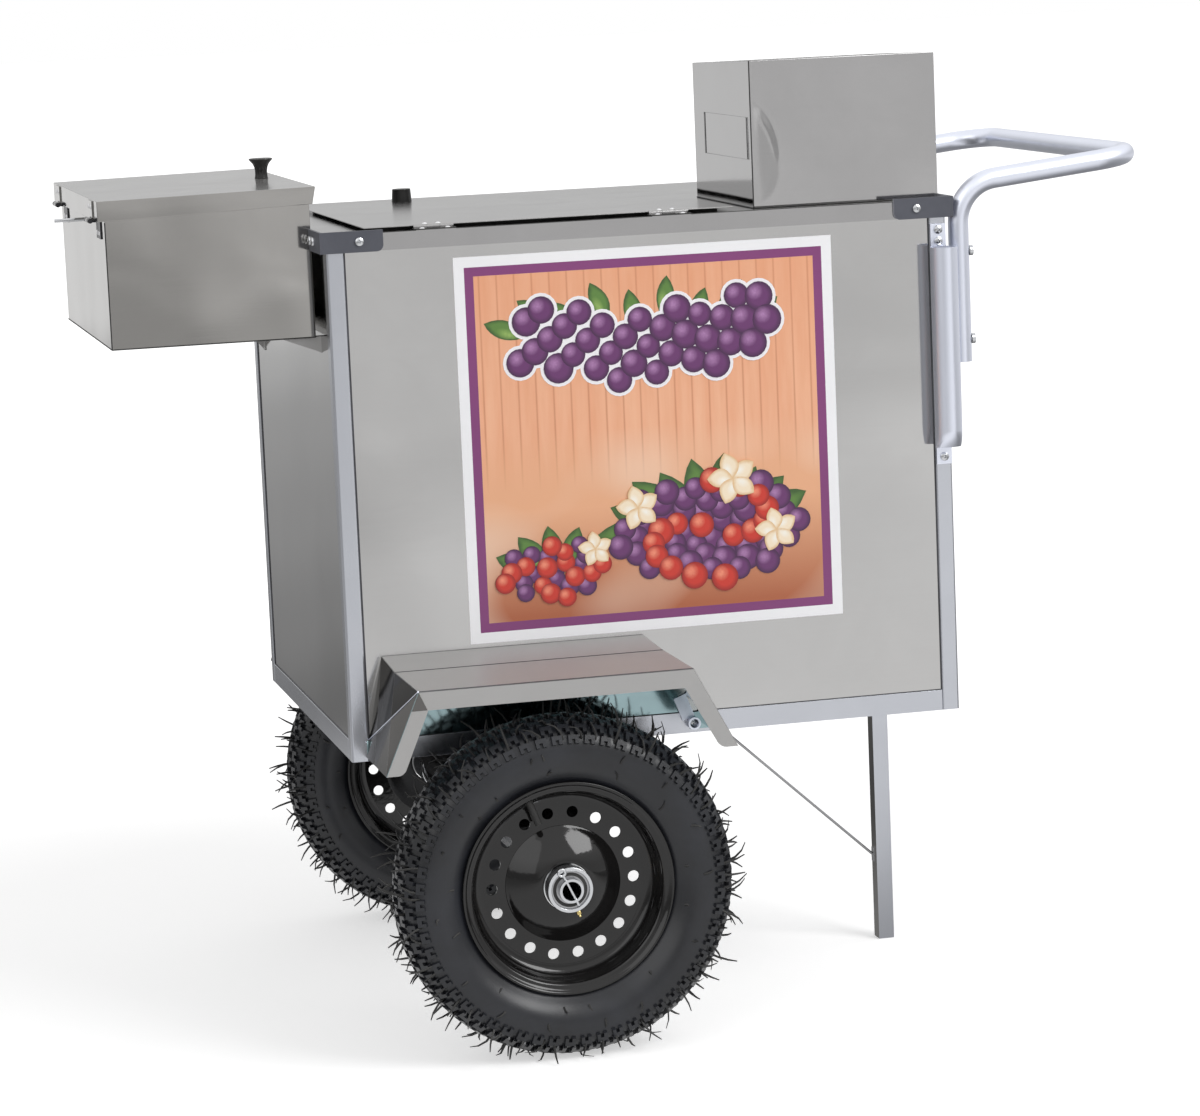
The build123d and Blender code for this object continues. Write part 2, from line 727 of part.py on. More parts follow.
with BuildPart() as topping_lid_knob:
    topping_knob_at = topping_lid_x1 - TOPPING_KNOB_FROM_END
    topping_knob_low = topping_lid_height(topping_knob_at + TOPPING_KNOB_BASE)
    with BuildSketch(Plane.XZ):
        with BuildLine():
            waist_z = topping_knob_low + TOPPING_KNOB_HEIGHT * TOPPING_KNOB_WAIST
            rim_z = topping_knob_low + TOPPING_KNOB_HEIGHT * TOPPING_KNOB_RIM
            crown_z = topping_knob_low + TOPPING_KNOB_HEIGHT
            foot = (topping_knob_at, topping_knob_low)
            foot_edge = (topping_knob_at + TOPPING_KNOB_BASE, topping_knob_low)
            waist = (topping_knob_at + TOPPING_KNOB_BASE, waist_z)
            rim_low = (topping_knob_at + TOPPING_KNOB_TOP, rim_z)
            rim_high = (topping_knob_at + TOPPING_KNOB_TOP, crown_z)
            crown = (topping_knob_at, crown_z)
            Line(foot, foot_edge)
            ThreePointArc(foot_edge, waist, rim_low)
            Polyline(rim_low, rim_high, crown, foot)
        make_face()
    revolve(axis=Axis((topping_knob_at, 0, topping_knob_low), (0, 0, 1)))
keep(topping_lid_knob, "topping_lid_knob")

# Topping lid hinges: axis along Y, outside the left skirt
topping_axis_x = topping_lid_x0 - KNUCKLE_OFFSET
topping_axis_z = topping_lid_low - KNUCKLE_GAP
topping_third = TOPPING_HINGE_LENGTH / 3
topping_hinge_out = topping_half - TOPPING_HINGE_INSET
topping_starts = [side * topping_hinge_out - TOPPING_HINGE_LENGTH / 2 for side in (-1, 1)]


def topping_plane(start):
    """Plane facing +Y on the topping lid's hinge axis."""
    return Plane(origin=(topping_axis_x, start, topping_axis_z), x_dir=(1, 0, 0), z_dir=(0, 1, 0))


with BuildPart() as topping_hinge_box_leaves:
    for start in topping_starts:
        web_z1 = topping_axis_z - KNUCKLE_GAP
        web_z0 = web_z1 - LEAF_SHEET
        for offset in (0, 2 * topping_third):
            rod(topping_plane(start + offset), KNUCKLE_RADIUS, topping_third)
            web_y0 = start + offset
            block(topping_axis_x, topping_left, web_y0, web_y0 + topping_third, web_z0, web_z1)
        block(
            topping_left - LEAF_SHEET,
            topping_left,
            start,
            start + TOPPING_HINGE_LENGTH,
            web_z1 - TOPPING_LEAF_HEIGHT,
            web_z1,
        )
        rod(topping_plane(start), PIN_RADIUS, TOPPING_HINGE_LENGTH, mode=Mode.SUBTRACT)
keep(topping_hinge_box_leaves, "topping_hinge_box_leaves")

with BuildPart() as topping_hinge_lid_leaves:
    for start in topping_starts:
        middle = start + topping_third + KNUCKLE_GAP
        middle_end = start + 2 * topping_third - KNUCKLE_GAP
        leaf_z0 = topping_axis_z + KNUCKLE_RADIUS + KNUCKLE_GAP
        rod(topping_plane(middle), KNUCKLE_RADIUS, middle_end - middle)
        block(
            topping_axis_x,
            topping_lid_x0,
            middle,
            middle_end,
            topping_lid_low + SEAT_GAP,
            topping_lid_low + SEAT_GAP + LEAF_SHEET,
        )
        block(
            topping_lid_x0 - LEAF_SHEET,
            topping_lid_x0,
            middle,
            middle_end,
            topping_lid_low + SEAT_GAP,
            leaf_z0 + LEAF_SHEET,
        )
        block(
            topping_lid_x0 - LEAF_SHEET,
            topping_lid_x0,
            start,
            start + TOPPING_HINGE_LENGTH,
            leaf_z0,
            topping_lid_top0 - LEAF_SHEET,
        )
        rod(topping_plane(start), PIN_RADIUS + PIN_CLEARANCE, TOPPING_HINGE_LENGTH, mode=Mode.SUBTRACT)
keep(topping_hinge_lid_leaves, "topping_hinge_lid_leaves")

with BuildPart() as topping_hinge_pins:
    for start in topping_starts:
        rod(topping_plane(start), PIN_RADIUS, TOPPING_HINGE_LENGTH)
keep(topping_hinge_pins, "topping_hinge_pins")

with BuildPart() as topping_lid_stop:
    rod(outward(topping_left, 0, topping_axis_z - STOP_DROP, (-1, 0, 0)), STOP_RADIUS, STOP_LENGTH)
keep(topping_lid_stop, "topping_lid_stop")

# Cup box: open top that drops towards the far side, window in the left wall
cup_x1 = x_right
cup_x0 = cup_x1 - CUP_LENGTH
cup_y0 = y_near + CUP_FROM_NEAR
cup_y1 = cup_y0 + CUP_WIDTH
with BuildPart() as cup_box:
    with BuildSketch(Plane.YZ.offset(cup_x0)):
        with BuildLine():
            Polyline(
                (cup_y0, deck_top),
                (cup_y1, deck_top),
                (cup_y1, deck_top + CUP_HEIGHT - CUP_BACK_DROP),
                (cup_y0, deck_top + CUP_HEIGHT),
                close=True,
            )
        make_face()
    extrude(amount=CUP_LENGTH)
    block(
        cup_x0 + SHEET,
        cup_x1 - SHEET,
        cup_y0 + SHEET,
        cup_y1 - SHEET,
        deck_top + SHEET,
        deck_top + CUP_HEIGHT,
        mode=Mode.SUBTRACT,
    )
    block(
        cup_x0 - SHEET,
        cup_x0 + 2 * SHEET,
        cup_y0 + CUP_WINDOW_FROM_NEAR,
        cup_y0 + CUP_WINDOW_FROM_NEAR + CUP_WINDOW_WIDTH,
        deck_top + CUP_WINDOW_RISE,
        deck_top + CUP_WINDOW_RISE + CUP_WINDOW_HEIGHT,
        mode=Mode.SUBTRACT,
    )
keep(cup_box, "cup_box")

# Umbrella holder: a socket on a flat strap, held off it by a web so that the pole clears the bracket above
socket_bore = SOCKET_DIAMETER / 2 - SOCKET_WALL
socket_y = -deck_width / 2 - BRACKET_SHEET - POLE_CLEARANCE - socket_bore
socket_low = underside + SOCKET_LOW
with BuildPart() as umbrella_holder:
    block(
        strap_x - STRAP_WIDTH / 2,
        strap_x + STRAP_WIDTH / 2,
        strap_face,
        y_near,
        strap_low,
        strap_low + STRAP_HEIGHT,
    )
    rod(Plane(origin=(strap_x, socket_y, socket_low)), SOCKET_DIAMETER / 2, SOCKET_LENGTH)
    block(
        strap_x - SOCKET_WEB / 2,
        strap_x + SOCKET_WEB / 2,
        socket_y,
        strap_face,
        socket_low,
        socket_low + SOCKET_LENGTH,
    )
    bore_plane = Plane(origin=(strap_x, socket_y, socket_low + SOCKET_FLOOR))
    rod(bore_plane, socket_bore, SOCKET_LENGTH, mode=Mode.SUBTRACT)
    screw_holes(strap_screws, SCREW_GRIP)
    block(
        strap_x - STRAP_WIDTH,
        strap_x + STRAP_WIDTH,
        y_near,
        y_near + SOCKET_DIAMETER,
        strap_low,
        strap_low + STRAP_HEIGHT,
        mode=Mode.SUBTRACT,
    )
keep(umbrella_holder, "umbrella_holder")

# Push handle: one bent tube, bolted to the right posts
handle_leg_x = x_right + HANDLE_STANDOFF + HANDLE_DIAMETER / 2
handle_end_x = x_right + HANDLE_REACH
handle_low = underside + HANDLE_LOW
handle_knee = underside + HANDLE_ARM_RISE
handle_end_z = handle_knee + (handle_end_x - handle_leg_x) * math.tan(math.radians(HANDLE_TILT))
with BuildPart() as handle:
    with BuildLine() as handle_path:
        FilletPolyline(
            (handle_leg_x, -handle_y, handle_low),
            (handle_leg_x, -handle_y, handle_knee),
            (handle_end_x, -handle_y, handle_end_z),
            (handle_end_x, handle_y, handle_end_z),
            (handle_leg_x, handle_y, handle_knee),
            (handle_leg_x, handle_y, handle_low),
            radius=HANDLE_BEND,
        )
    with BuildSketch(Plane(origin=handle_path.wire() @ 0, z_dir=handle_path.wire() % 0)):
        Circle(HANDLE_DIAMETER / 2)
        Circle(HANDLE_DIAMETER / 2 - HANDLE_WALL, mode=Mode.SUBTRACT)
    sweep()
    for side in (-1, 1):
        for bolt_z in handle_bolt_z:
            hole_plane = outward(x_right, side * handle_y, bolt_z, (1, 0, 0))
            rod(
                hole_plane,
                BOLT_SHANK / 2 + SCREW_CLEARANCE,
                HANDLE_STANDOFF + HANDLE_DIAMETER,
                mode=Mode.SUBTRACT,
            )
keep(handle, "handle")

with BuildPart() as handle_bolts:
    for side in (-1, 1):
        for bolt_z in handle_bolt_z:
            post_plane = outward(x_right, side * handle_y, bolt_z, (1, 0, 0))
            rod(post_plane, BOLT_SHANK / 2, HANDLE_STANDOFF + HANDLE_DIAMETER)
            rod(post_plane, BOLT_SHANK / 2, -2 * POST_WALL)
            rod(post_plane, BOLT_SHANK, HANDLE_STANDOFF - SEAT_GAP)
            head_x = x_right + HANDLE_STANDOFF + HANDLE_DIAMETER
            rod(outward(head_x, side * handle_y, bolt_z, (1, 0, 0)), BOLT_HEAD / 2, BOLT_HEAD_HEIGHT)
keep(handle_bolts, "handle_bolts")

# Axle pipe, its hangers, spacing collars and split pins
axle_half = half_track + AXLE_END
pin_y = half_track + HUB_HALF_LENGTH + SPLIT_PIN_RADIUS + SEAT_GAP
hanger_out = BODY_WIDTH / 2


def across(y, z_dir=1):
    """Plane on the axle's centre line, facing along Y."""
    return Plane(origin=(axle_x, y, axle_z), x_dir=(1, 0, 0), z_dir=(0, z_dir, 0))


def pin_plane(side):
    """Plane through an end of the axle, along its split pin."""
    tilt = math.radians(SPLIT_PIN_TILT)
    return Plane(
        origin=(axle_x, side * pin_y, axle_z),
        x_dir=(0, 1, 0),
        z_dir=(math.sin(tilt), 0, math.cos(tilt)),
    )


with BuildPart() as axle:
    rod(across(-axle_half), AXLE_RADIUS, 2 * axle_half)
    rod(across(-axle_half), AXLE_RADIUS - AXLE_WALL, 2 * axle_half, mode=Mode.SUBTRACT)
    for side in (-1, 1):
        pin_hole = pin_plane(side).offset(-SPLIT_PIN_LENGTH / 2)
        rod(pin_hole, SPLIT_PIN_RADIUS + SCREW_CLEARANCE, SPLIT_PIN_LENGTH, mode=Mode.SUBTRACT)
keep(axle, "axle")

for side, place in ((-1, "near"), (1, "far")):
    with BuildPart() as axle_hanger:
        with BuildSketch(Plane.XZ.offset(-side * hanger_out)):
            with BuildLine():
                Polyline(
                    (axle_x - HANGER_TOP / 2, underside),
                    (axle_x + HANGER_TOP / 2, underside),
                    (axle_x + HANGER_FOOT_RADIUS, axle_z),
                    (axle_x - HANGER_FOOT_RADIUS, axle_z),
                    close=True,
                )
            make_face()
            with Locations((axle_x, axle_z)):
                Circle(HANGER_FOOT_RADIUS)
                Circle(AXLE_RADIUS + FIT, mode=Mode.SUBTRACT)
        extrude(amount=side * HANGER_SHEET)
        y0, y1 = sorted((side * hanger_out, side * (hanger_out - POST_SIZE)))
        block(
            axle_x - HANGER_TOP / 2,
            axle_x + HANGER_TOP / 2,
            y0,
            y1,
            underside - HANGER_FLANGE,
            underside,
        )
    keep(axle_hanger, f"axle_hanger_{place}")

with BuildPart() as axle_collars:
    collar_length = half_track - HUB_HALF_LENGTH - SEAT_GAP - hanger_out
    for side in (-1, 1):
        rod(across(side * hanger_out, side), COLLAR_RADIUS, collar_length)
        rod(across(side * hanger_out, side), AXLE_RADIUS + FIT, collar_length, mode=Mode.SUBTRACT)
keep(axle_collars, "axle_collars")

with BuildPart() as split_pins:
    for side in (-1, 1):
        rod(pin_plane(side).offset(-SPLIT_PIN_LENGTH / 2), SPLIT_PIN_RADIUS, SPLIT_PIN_LENGTH)
        eye_plane = pin_plane(side).offset(SPLIT_PIN_LENGTH / 2 + SPLIT_PIN_EYE - SPLIT_PIN_RADIUS)
        with Locations(Plane(origin=eye_plane.origin, z_dir=(0, 1, 0))):
            Torus(SPLIT_PIN_EYE - SPLIT_PIN_RADIUS, SPLIT_PIN_RADIUS)
keep(split_pins, "split_pins")


# Wheels: every profile is drawn as (outward offset from the wheel's mid plane, radius)
wheel_axis = Axis((axle_x, 0, axle_z), (0, 1, 0))


def wheel_points(side, points):
    """Turn offset and radius pairs into points of the YZ plane through the axle."""
    return [(side * (half_track + offset), axle_z + radius) for offset, radius in points]


def ring_profile(side, points):
    """Revolve a closed outline of offset and radius pairs about the axle."""
    with BuildSketch(Plane.YZ.offset(axle_x)) as outline:
        with BuildLine():
            Polyline(*wheel_points(side, points), close=True)
        make_face()
    revolve(outline.sketch, axis=wheel_axis)


valve_way = math.radians(VALVE_ANGLE)
valve_dir = (math.cos(valve_way), 0, math.sin(valve_way))


def valve_plane(side, radius):
    """Plane facing out along the valve stem, at a radius from the axle."""
    return Plane(
        origin=(
            axle_x + radius * valve_dir[0],
            side * (half_track + VALVE_OFFSET),
            axle_z + radius * valve_dir[2],
        ),
        x_dir=(0, 1, 0),
        z_dir=valve_dir,
    )


seat_offset = RIM_HALF_WIDTH - 2 * RIM_SHEET
well_offset = RIM_HALF_WIDTH * WELL_OUT
well_floor = RIM_HALF_WIDTH * WELL_FLOOR_OUT
dome_shoulder = DOME_RADIUS * DOME_SHOULDER
dome_crown = DOME_RADIUS * DOME_CROWN
dome_shoulder_rise = DOME_RISE * DOME_SHOULDER_RISE
tube_centre = RIM_SEAT_RADIUS + (TYRE_RADIUS - TYRE_WALL - RIM_SEAT_RADIUS) / 2
hub_fit = HUB_RADIUS + FIT
bead_out = seat_offset - SEAT_GAP
bead_radius = RIM_SEAT_RADIUS + SEAT_GAP
belly_radius = (TYRE_RADIUS + RIM_SEAT_RADIUS) / 2
shoulder_offset = TYRE_WIDTH * SHOULDER_OUT
shoulder_radius = TYRE_RADIUS - TYRE_WIDTH * SHOULDER_DROP

for side, place in ((-1, "near"), (1, "far")):
    with BuildPart() as rim:
        barrel = [
            (RIM_HALF_WIDTH, RIM_FLANGE_RADIUS),
            (seat_offset, RIM_FLANGE_RADIUS - RIM_SHEET),
            (seat_offset, RIM_SEAT_RADIUS),
            (well_offset, RIM_SEAT_RADIUS - RIM_SHEET),
            (well_floor, RIM_WELL_RADIUS),
        ]
        barrel_under = [
            (well_floor + RIM_SHEET, RIM_WELL_RADIUS - RIM_SHEET),
            (well_offset + RIM_SHEET, RIM_SEAT_RADIUS - 2 * RIM_SHEET),
            (seat_offset + RIM_SHEET, RIM_SEAT_RADIUS - 2 * RIM_SHEET),
            (seat_offset + RIM_SHEET, RIM_FLANGE_RADIUS - 2 * RIM_SHEET),
            (RIM_HALF_WIDTH, RIM_FLANGE_RADIUS - RIM_SHEET),
        ]
        upper = barrel + [(-offset, radius) for offset, radius in reversed(barrel)]
        lower = [(-offset, radius) for offset, radius in reversed(barrel_under)] + barrel_under
        ring_profile(side, upper + lower)
        disc = [
            (RIM_SHEET / 2, RIM_WELL_RADIUS - RIM_SHEET / 2),
            (RIM_SHEET / 2, DOME_RADIUS),
            (dome_shoulder_rise, dome_shoulder),
            (DOME_RISE, dome_crown),
            (DOME_RISE + RIM_SHEET, hub_fit),
            (DOME_RISE, hub_fit),
            (DOME_RISE - RIM_SHEET, dome_crown - RIM_SHEET / 2),
            (dome_shoulder_rise - RIM_SHEET, dome_shoulder - RIM_SHEET),
            (-RIM_SHEET / 2, DOME_RADIUS - RIM_SHEET),
            (-RIM_SHEET / 2, RIM_WELL_RADIUS - RIM_SHEET / 2),
        ]
        ring_profile(side, disc)
        with BuildSketch(across(side * half_track - RIM_SHEET)):
            with PolarLocations(RIM_HOLE_CIRCLE, RIM_HOLE_COUNT):
                Circle(RIM_HOLE_RADIUS)
        extrude(amount=2 * RIM_SHEET, mode=Mode.SUBTRACT)
        rod(
            valve_plane(side, RIM_WELL_RADIUS - 3 * RIM_SHEET),
            VALVE_RADIUS + SEAT_GAP,
            RIM_SEAT_RADIUS - RIM_WELL_RADIUS + 3 * RIM_SHEET,
            mode=Mode.SUBTRACT,
        )
    keep(rim, f"{place}_rim")

    with BuildPart() as hub:
        hub_end = side * (half_track - HUB_HALF_LENGTH)
        rod(across(hub_end, side), HUB_RADIUS, 2 * HUB_HALF_LENGTH)
        rod(across(hub_end, side), HUB_CORE_RADIUS, 2 * HUB_HALF_LENGTH, mode=Mode.SUBTRACT)
        pocket = BEARING_RECESS + BEARING_WIDTH
        rod(across(hub_end, side), BEARING_RADIUS + FIT, pocket, mode=Mode.SUBTRACT)
        far_pocket = side * (half_track + HUB_HALF_LENGTH - pocket)
        rod(across(far_pocket, side), BEARING_RADIUS + FIT, pocket, mode=Mode.SUBTRACT)
    keep(hub, f"{place}_hub")

    with BuildPart() as bearings:
        inner_start = half_track - HUB_HALF_LENGTH + BEARING_RECESS
        outer_start = half_track + HUB_HALF_LENGTH - BEARING_RECESS - BEARING_WIDTH
        for start in (inner_start, outer_start):
            rod(across(side * start, side), BEARING_RADIUS, BEARING_WIDTH)
            rod(across(side * start, side), AXLE_RADIUS + FIT, BEARING_WIDTH, mode=Mode.SUBTRACT)
    keep(bearings, f"{place}_bearings")

    with BuildPart() as tyre:
        with BuildSketch(Plane.YZ.offset(axle_x)):
            with BuildLine():
                half = [
                    (bead_out, bead_radius),
                    (bead_out, RIM_FLANGE_RADIUS + SEAT_GAP),
                    (TYRE_WIDTH / 2, belly_radius),
                    (shoulder_offset, shoulder_radius),
                    (0, TYRE_RADIUS),
                ]
                mirrored = [(-offset, radius) for offset, radius in half]
                right_bead, right_neck, right_belly, right_shoulder, crown = wheel_points(side, half)
                left_bead, left_neck, left_belly, left_shoulder, _ = wheel_points(side, mirrored)
                Line(right_bead, right_neck)
                ThreePointArc(right_neck, right_belly, right_shoulder)
                ThreePointArc(right_shoulder, crown, left_shoulder)
                ThreePointArc(left_shoulder, left_belly, left_neck)
                Line(left_neck, left_bead)
                inner_half = [
                    (bead_out - TYRE_WALL, bead_radius),
                    (bead_out - TYRE_WALL, RIM_FLANGE_RADIUS + SEAT_GAP),
                    (TYRE_WIDTH / 2 - TYRE_WALL, belly_radius),
                    (shoulder_offset - TYRE_WALL, shoulder_radius - TYRE_WALL),
                    (0, TYRE_RADIUS - TYRE_WALL * TREAD_WALL),
                ]
                mirrored = [(-offset, radius) for offset, radius in inner_half]
                in_bead, in_neck, in_belly, in_shoulder, in_crown = wheel_points(side, inner_half)
                out_bead, out_neck, out_belly, out_shoulder, _ = wheel_points(side, mirrored)
                Polyline(left_bead, out_bead, out_neck)
                ThreePointArc(out_neck, out_belly, out_shoulder)
                ThreePointArc(out_shoulder, in_crown, in_shoulder)
                ThreePointArc(in_shoulder, in_belly, in_neck)
                Polyline(in_neck, in_bead, right_bead)
            make_face()
        revolve(axis=wheel_axis)
    keep(tyre, f"{place}_tyre")

    with BuildPart() as inner_tube:
        with BuildSketch(Plane.YZ.offset(axle_x)):
            with Locations(wheel_points(side, [(0, tube_centre)])[0]):
                Circle(TUBE_RADIUS)
                Circle(TUBE_RADIUS - TUBE_WALL, mode=Mode.SUBTRACT)
        revolve(axis=wheel_axis)
        stem_top = tube_centre - TUBE_RADIUS * STEM_ROOT
        rod(valve_plane(side, VALVE_TIP_RADIUS), VALVE_RADIUS, stem_top - VALVE_TIP_RADIUS)
    keep(inner_tube, f"{place}_inner_tube")


# Fenders: flat facets of one folded sheet, joined along their fold lines
def facet(points):
    """Thicken a flat polygon to the sheet of the fender, half to each side."""
    origin = Vector(*points[0])
    first = Vector(*points[1]) - origin
    second = Vector(*points[2]) - origin
    plane = Plane(origin=origin, x_dir=first, z_dir=first.cross(second))
    flat = [plane.to_local_coords(Vector(*point)) for point in points]
    with BuildSketch(plane) as outline:
        with BuildLine():
            Polyline(*[(corner.X, corner.Y) for corner in flat], close=True)
        make_face()
    extrude(outline.sketch, amount=FENDER_SHEET / 2, both=True)


def fold_point(side, reach, along, rise):
    """A point of the fender from its side, outward reach, place along the body and height."""
    return (x_left + along, side * (panel_out + reach), underside + rise)


for side, place in ((-1, "near"), (1, "far")):
    outer_reach = FENDER_FOLDS[-1][0]
    edge_rise = FENDER_FOLDS[-1][1] - FENDER_FLANGE
    profile = list(FENDER_FOLDS) + [(outer_reach, edge_rise)]
    left_line = [fold_point(side, reach, x, rise) for (reach, rise), x in zip(profile, FENDER_LEFT_CORNERS)]
    right_line = [fold_point(side, reach, x, rise) for (reach, rise), x in zip(profile, FENDER_RIGHT_CORNERS)]
    left_feet = [fold_point(side, reach, FENDER_LEFT_FOOT, FENDER_FOOT_RISE) for reach, _ in FENDER_FOLDS]
    right_feet = [fold_point(side, reach, FENDER_RIGHT_FOOT, FENDER_FOOT_RISE) for reach, _ in FENDER_FOLDS]
    left_feet.append(fold_point(side, outer_reach, FENDER_LEFT_FOOT + FENDER_FOOT_FLANGE, FENDER_FOOT_RISE))
    right_feet.append(fold_point(side, outer_reach, FENDER_RIGHT_FOOT - FENDER_FOOT_FLANGE, FENDER_FOOT_RISE))

    with BuildPart() as fender:
        for i in range(3):
            facet((left_line[i], right_line[i], right_line[i + 1], left_line[i + 1]))
            for line, feet in ((left_line, left_feet), (right_line, right_feet)):
                facet((line[i], line[i + 1], feet[i + 1]))
                facet((line[i], feet[i + 1], feet[i]))
        wall_out = BODY_WIDTH / 2
        tab_y0, tab_y1 = sorted((side * wall_out, side * (wall_out + FENDER_SHEET)))
        for foot, direction in ((FENDER_LEFT_FOOT, 1), (FENDER_RIGHT_FOOT, -1)):
            tab_x0, tab_x1 = sorted((x_left + foot, x_left + foot + direction * FENDER_TAB))
            block(tab_x0, tab_x1, tab_y0, tab_y1, underside + FENDER_FOOT_RISE, rail_top)
        trim_y0, trim_y1 = sorted((side * wall_out, side * (wall_out - POST_SIZE)))
        block(x_left, x_right, trim_y0, trim_y1, underside - RAIL_HEIGHT, rail_top, mode=Mode.SUBTRACT)
        block(x_left, x_left + POST_SIZE, trim_y0, trim_y1, underside, batten_low, mode=Mode.SUBTRACT)
        panel_y0, panel_y1 = sorted((side * panel_out, side * (panel_out - POST_SIZE)))
        block(x_left, x_right, panel_y0, panel_y1, underside, batten_low, mode=Mode.SUBTRACT)
        screw_holes([plane for plane in fender_bolts if plane.z_dir.Y == side], SCREW_GRIP)
    keep(fender, f"fender_{place}")

# Support leg under the right rail, and the stay that braces it to the crossbar
leg_x = x_right - POST_SIZE / 2 - LEG_INSET
with BuildPart() as support_leg:
    block(leg_x - LEG_SIZE / 2, leg_x + LEG_SIZE / 2, -LEG_SIZE / 2, LEG_SIZE / 2, 0, underside)
    inner_half = LEG_SIZE / 2 - LEG_WALL
    block(
        leg_x - inner_half,
        leg_x + inner_half,
        -inner_half,
        inner_half,
        0,
        underside - LEG_PLATE_SHEET,
        mode=Mode.SUBTRACT,
    )
    block(
        leg_x - POST_SIZE / 2,
        leg_x + POST_SIZE / 2,
        -LEG_PLATE / 2,
        LEG_PLATE / 2,
        underside - LEG_PLATE_SHEET,
        underside,
    )
keep(support_leg, "support_leg")

with BuildPart() as stay_rod:
    stay_top = Vector(stay_x, 0, underside - STAY_PLATE)
    stay_foot = Vector(leg_x - LEG_SIZE / 2 - STAY_PLATE, 0, STAY_LOW)
    stay_way = stay_foot - stay_top
    rod(Plane(origin=stay_top, z_dir=stay_way), STAY_RADIUS, stay_way.length)
    block(
        stay_x - STAY_PLATE_LENGTH / 2,
        stay_x + STAY_PLATE_LENGTH / 2,
        -STAY_PLATE_WIDTH / 2,
        STAY_PLATE_WIDTH / 2,
        underside - STAY_PLATE,
        underside,
    )
    block(
        leg_x - LEG_SIZE / 2 - STAY_PLATE,
        leg_x - LEG_SIZE / 2,
        -STAY_PLATE_WIDTH / 2,
        STAY_PLATE_WIDTH / 2,
        STAY_LOW - STAY_PLATE_LENGTH / 2,
        STAY_LOW + STAY_PLATE_LENGTH / 2,
    )
keep(stay_rod, "stay_rod")
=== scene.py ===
# %% [markdown]
# A street cart for frozen berry cream, dressed for a picture. The solid model comes in as a fixed frame, in
# metres, and stays as it is. This lesson gives every sheet, tube, tyre and screw its finish, and models
# what a solid model leaves out: tread blocks, vent hairs, rivets, sealant, the printed label.

# %% Load the frame
import json
import math
import random

import bmesh
import bpy
from mathutils import Matrix, Vector

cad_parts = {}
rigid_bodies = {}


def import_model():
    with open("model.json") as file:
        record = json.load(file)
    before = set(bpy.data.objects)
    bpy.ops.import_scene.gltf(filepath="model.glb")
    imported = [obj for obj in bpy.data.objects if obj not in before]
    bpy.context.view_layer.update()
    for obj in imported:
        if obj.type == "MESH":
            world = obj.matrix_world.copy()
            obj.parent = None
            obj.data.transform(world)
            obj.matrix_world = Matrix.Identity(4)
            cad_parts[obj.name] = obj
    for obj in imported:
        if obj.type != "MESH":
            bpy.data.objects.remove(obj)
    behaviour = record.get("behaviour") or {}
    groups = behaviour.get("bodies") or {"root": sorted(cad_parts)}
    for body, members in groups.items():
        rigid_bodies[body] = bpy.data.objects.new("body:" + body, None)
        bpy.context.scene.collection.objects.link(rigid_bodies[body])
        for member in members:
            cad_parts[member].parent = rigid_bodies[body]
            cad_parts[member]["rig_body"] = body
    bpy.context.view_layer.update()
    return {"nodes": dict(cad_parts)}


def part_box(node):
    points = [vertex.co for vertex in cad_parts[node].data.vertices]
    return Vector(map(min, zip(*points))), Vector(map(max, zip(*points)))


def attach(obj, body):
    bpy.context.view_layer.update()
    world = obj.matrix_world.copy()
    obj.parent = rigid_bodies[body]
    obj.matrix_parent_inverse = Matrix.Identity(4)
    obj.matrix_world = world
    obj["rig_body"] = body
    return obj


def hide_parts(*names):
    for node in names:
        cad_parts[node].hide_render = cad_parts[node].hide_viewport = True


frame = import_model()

# %% [markdown]
# The camera is found from the straight edges of the real cart: where it stands, which way it looks and how
# long its lens is. A long lens from over four metres keeps the box nearly free of perspective.

# %% Camera
EYE = Vector((-1.0286, -4.3488, 1.1549))
RIGHT = Vector((0.97025, -0.23844, -0.04201))
DOWN = Vector((-0.07674, -0.13829, -0.98741))
AHEAD = Vector((0.22963, 0.96126, -0.15248))
LENS = 121.76
SENSOR = 36
SIGHT = 200


def in_scene(name, data):
    """A new object in the scene, at the origin."""
    thing = bpy.data.objects.new(name, data)
    bpy.context.scene.collection.objects.link(thing)
    return thing


lens = bpy.data.cameras.new("view_of_the_cart")
lens.lens = LENS
lens.sensor_width = SENSOR
lens.clip_end = SIGHT
camera = in_scene("view_of_the_cart", lens)
camera.matrix_world = Matrix.Translation(EYE) @ Matrix((RIGHT, -DOWN, -AHEAD)).transposed().to_4x4()
bpy.context.scene.camera = camera
bpy.context.scene.view_settings.view_transform = "Standard"
print("camera at", [round(x, 2) for x in camera.location])

# %% [markdown]
# Nodes could be wired by hand in the editor. A few small helpers do the same here: one puts a value or a
# link on a socket, some add a node and return its output, and one makes a material with a single Principled
# shader.

# %% Node helpers
WHITE = (1, 1, 1, 1)


def fill(tree, socket, value):
    """Put a value on a socket, or a link if the value comes from another node."""
    if isinstance(value, bpy.types.NodeSocket):
        tree.links.new(value, socket)
    else:
        socket.default_value = value


def add(tree, kind, _out=0, **inputs):
    """Add a node, fill its named inputs and return one of its outputs."""
    node = tree.nodes.new("ShaderNode" + kind)
    for name, value in inputs.items():
        fill(tree, node.inputs[name.replace("_", " ")], value)
    return node.outputs[_out]


def calc(tree, operation, first, second=0.0, third=0.0):
    """One Math node on up to three values or links."""
    node = tree.nodes.new("ShaderNodeMath")
    node.operation = operation
    for socket, value in zip(node.inputs, (first, second, third)):
        fill(tree, socket, value)
    return node.outputs[0]


def blend_colours(tree, share, first, second):
    """Mix two colours by a share from 0 to 1."""
    node = tree.nodes.new("ShaderNodeMix")
    node.data_type = "RGBA"
    for number, value in ((0, share), (6, first), (7, second)):
        fill(tree, node.inputs[number], value)
    return node.outputs[2]


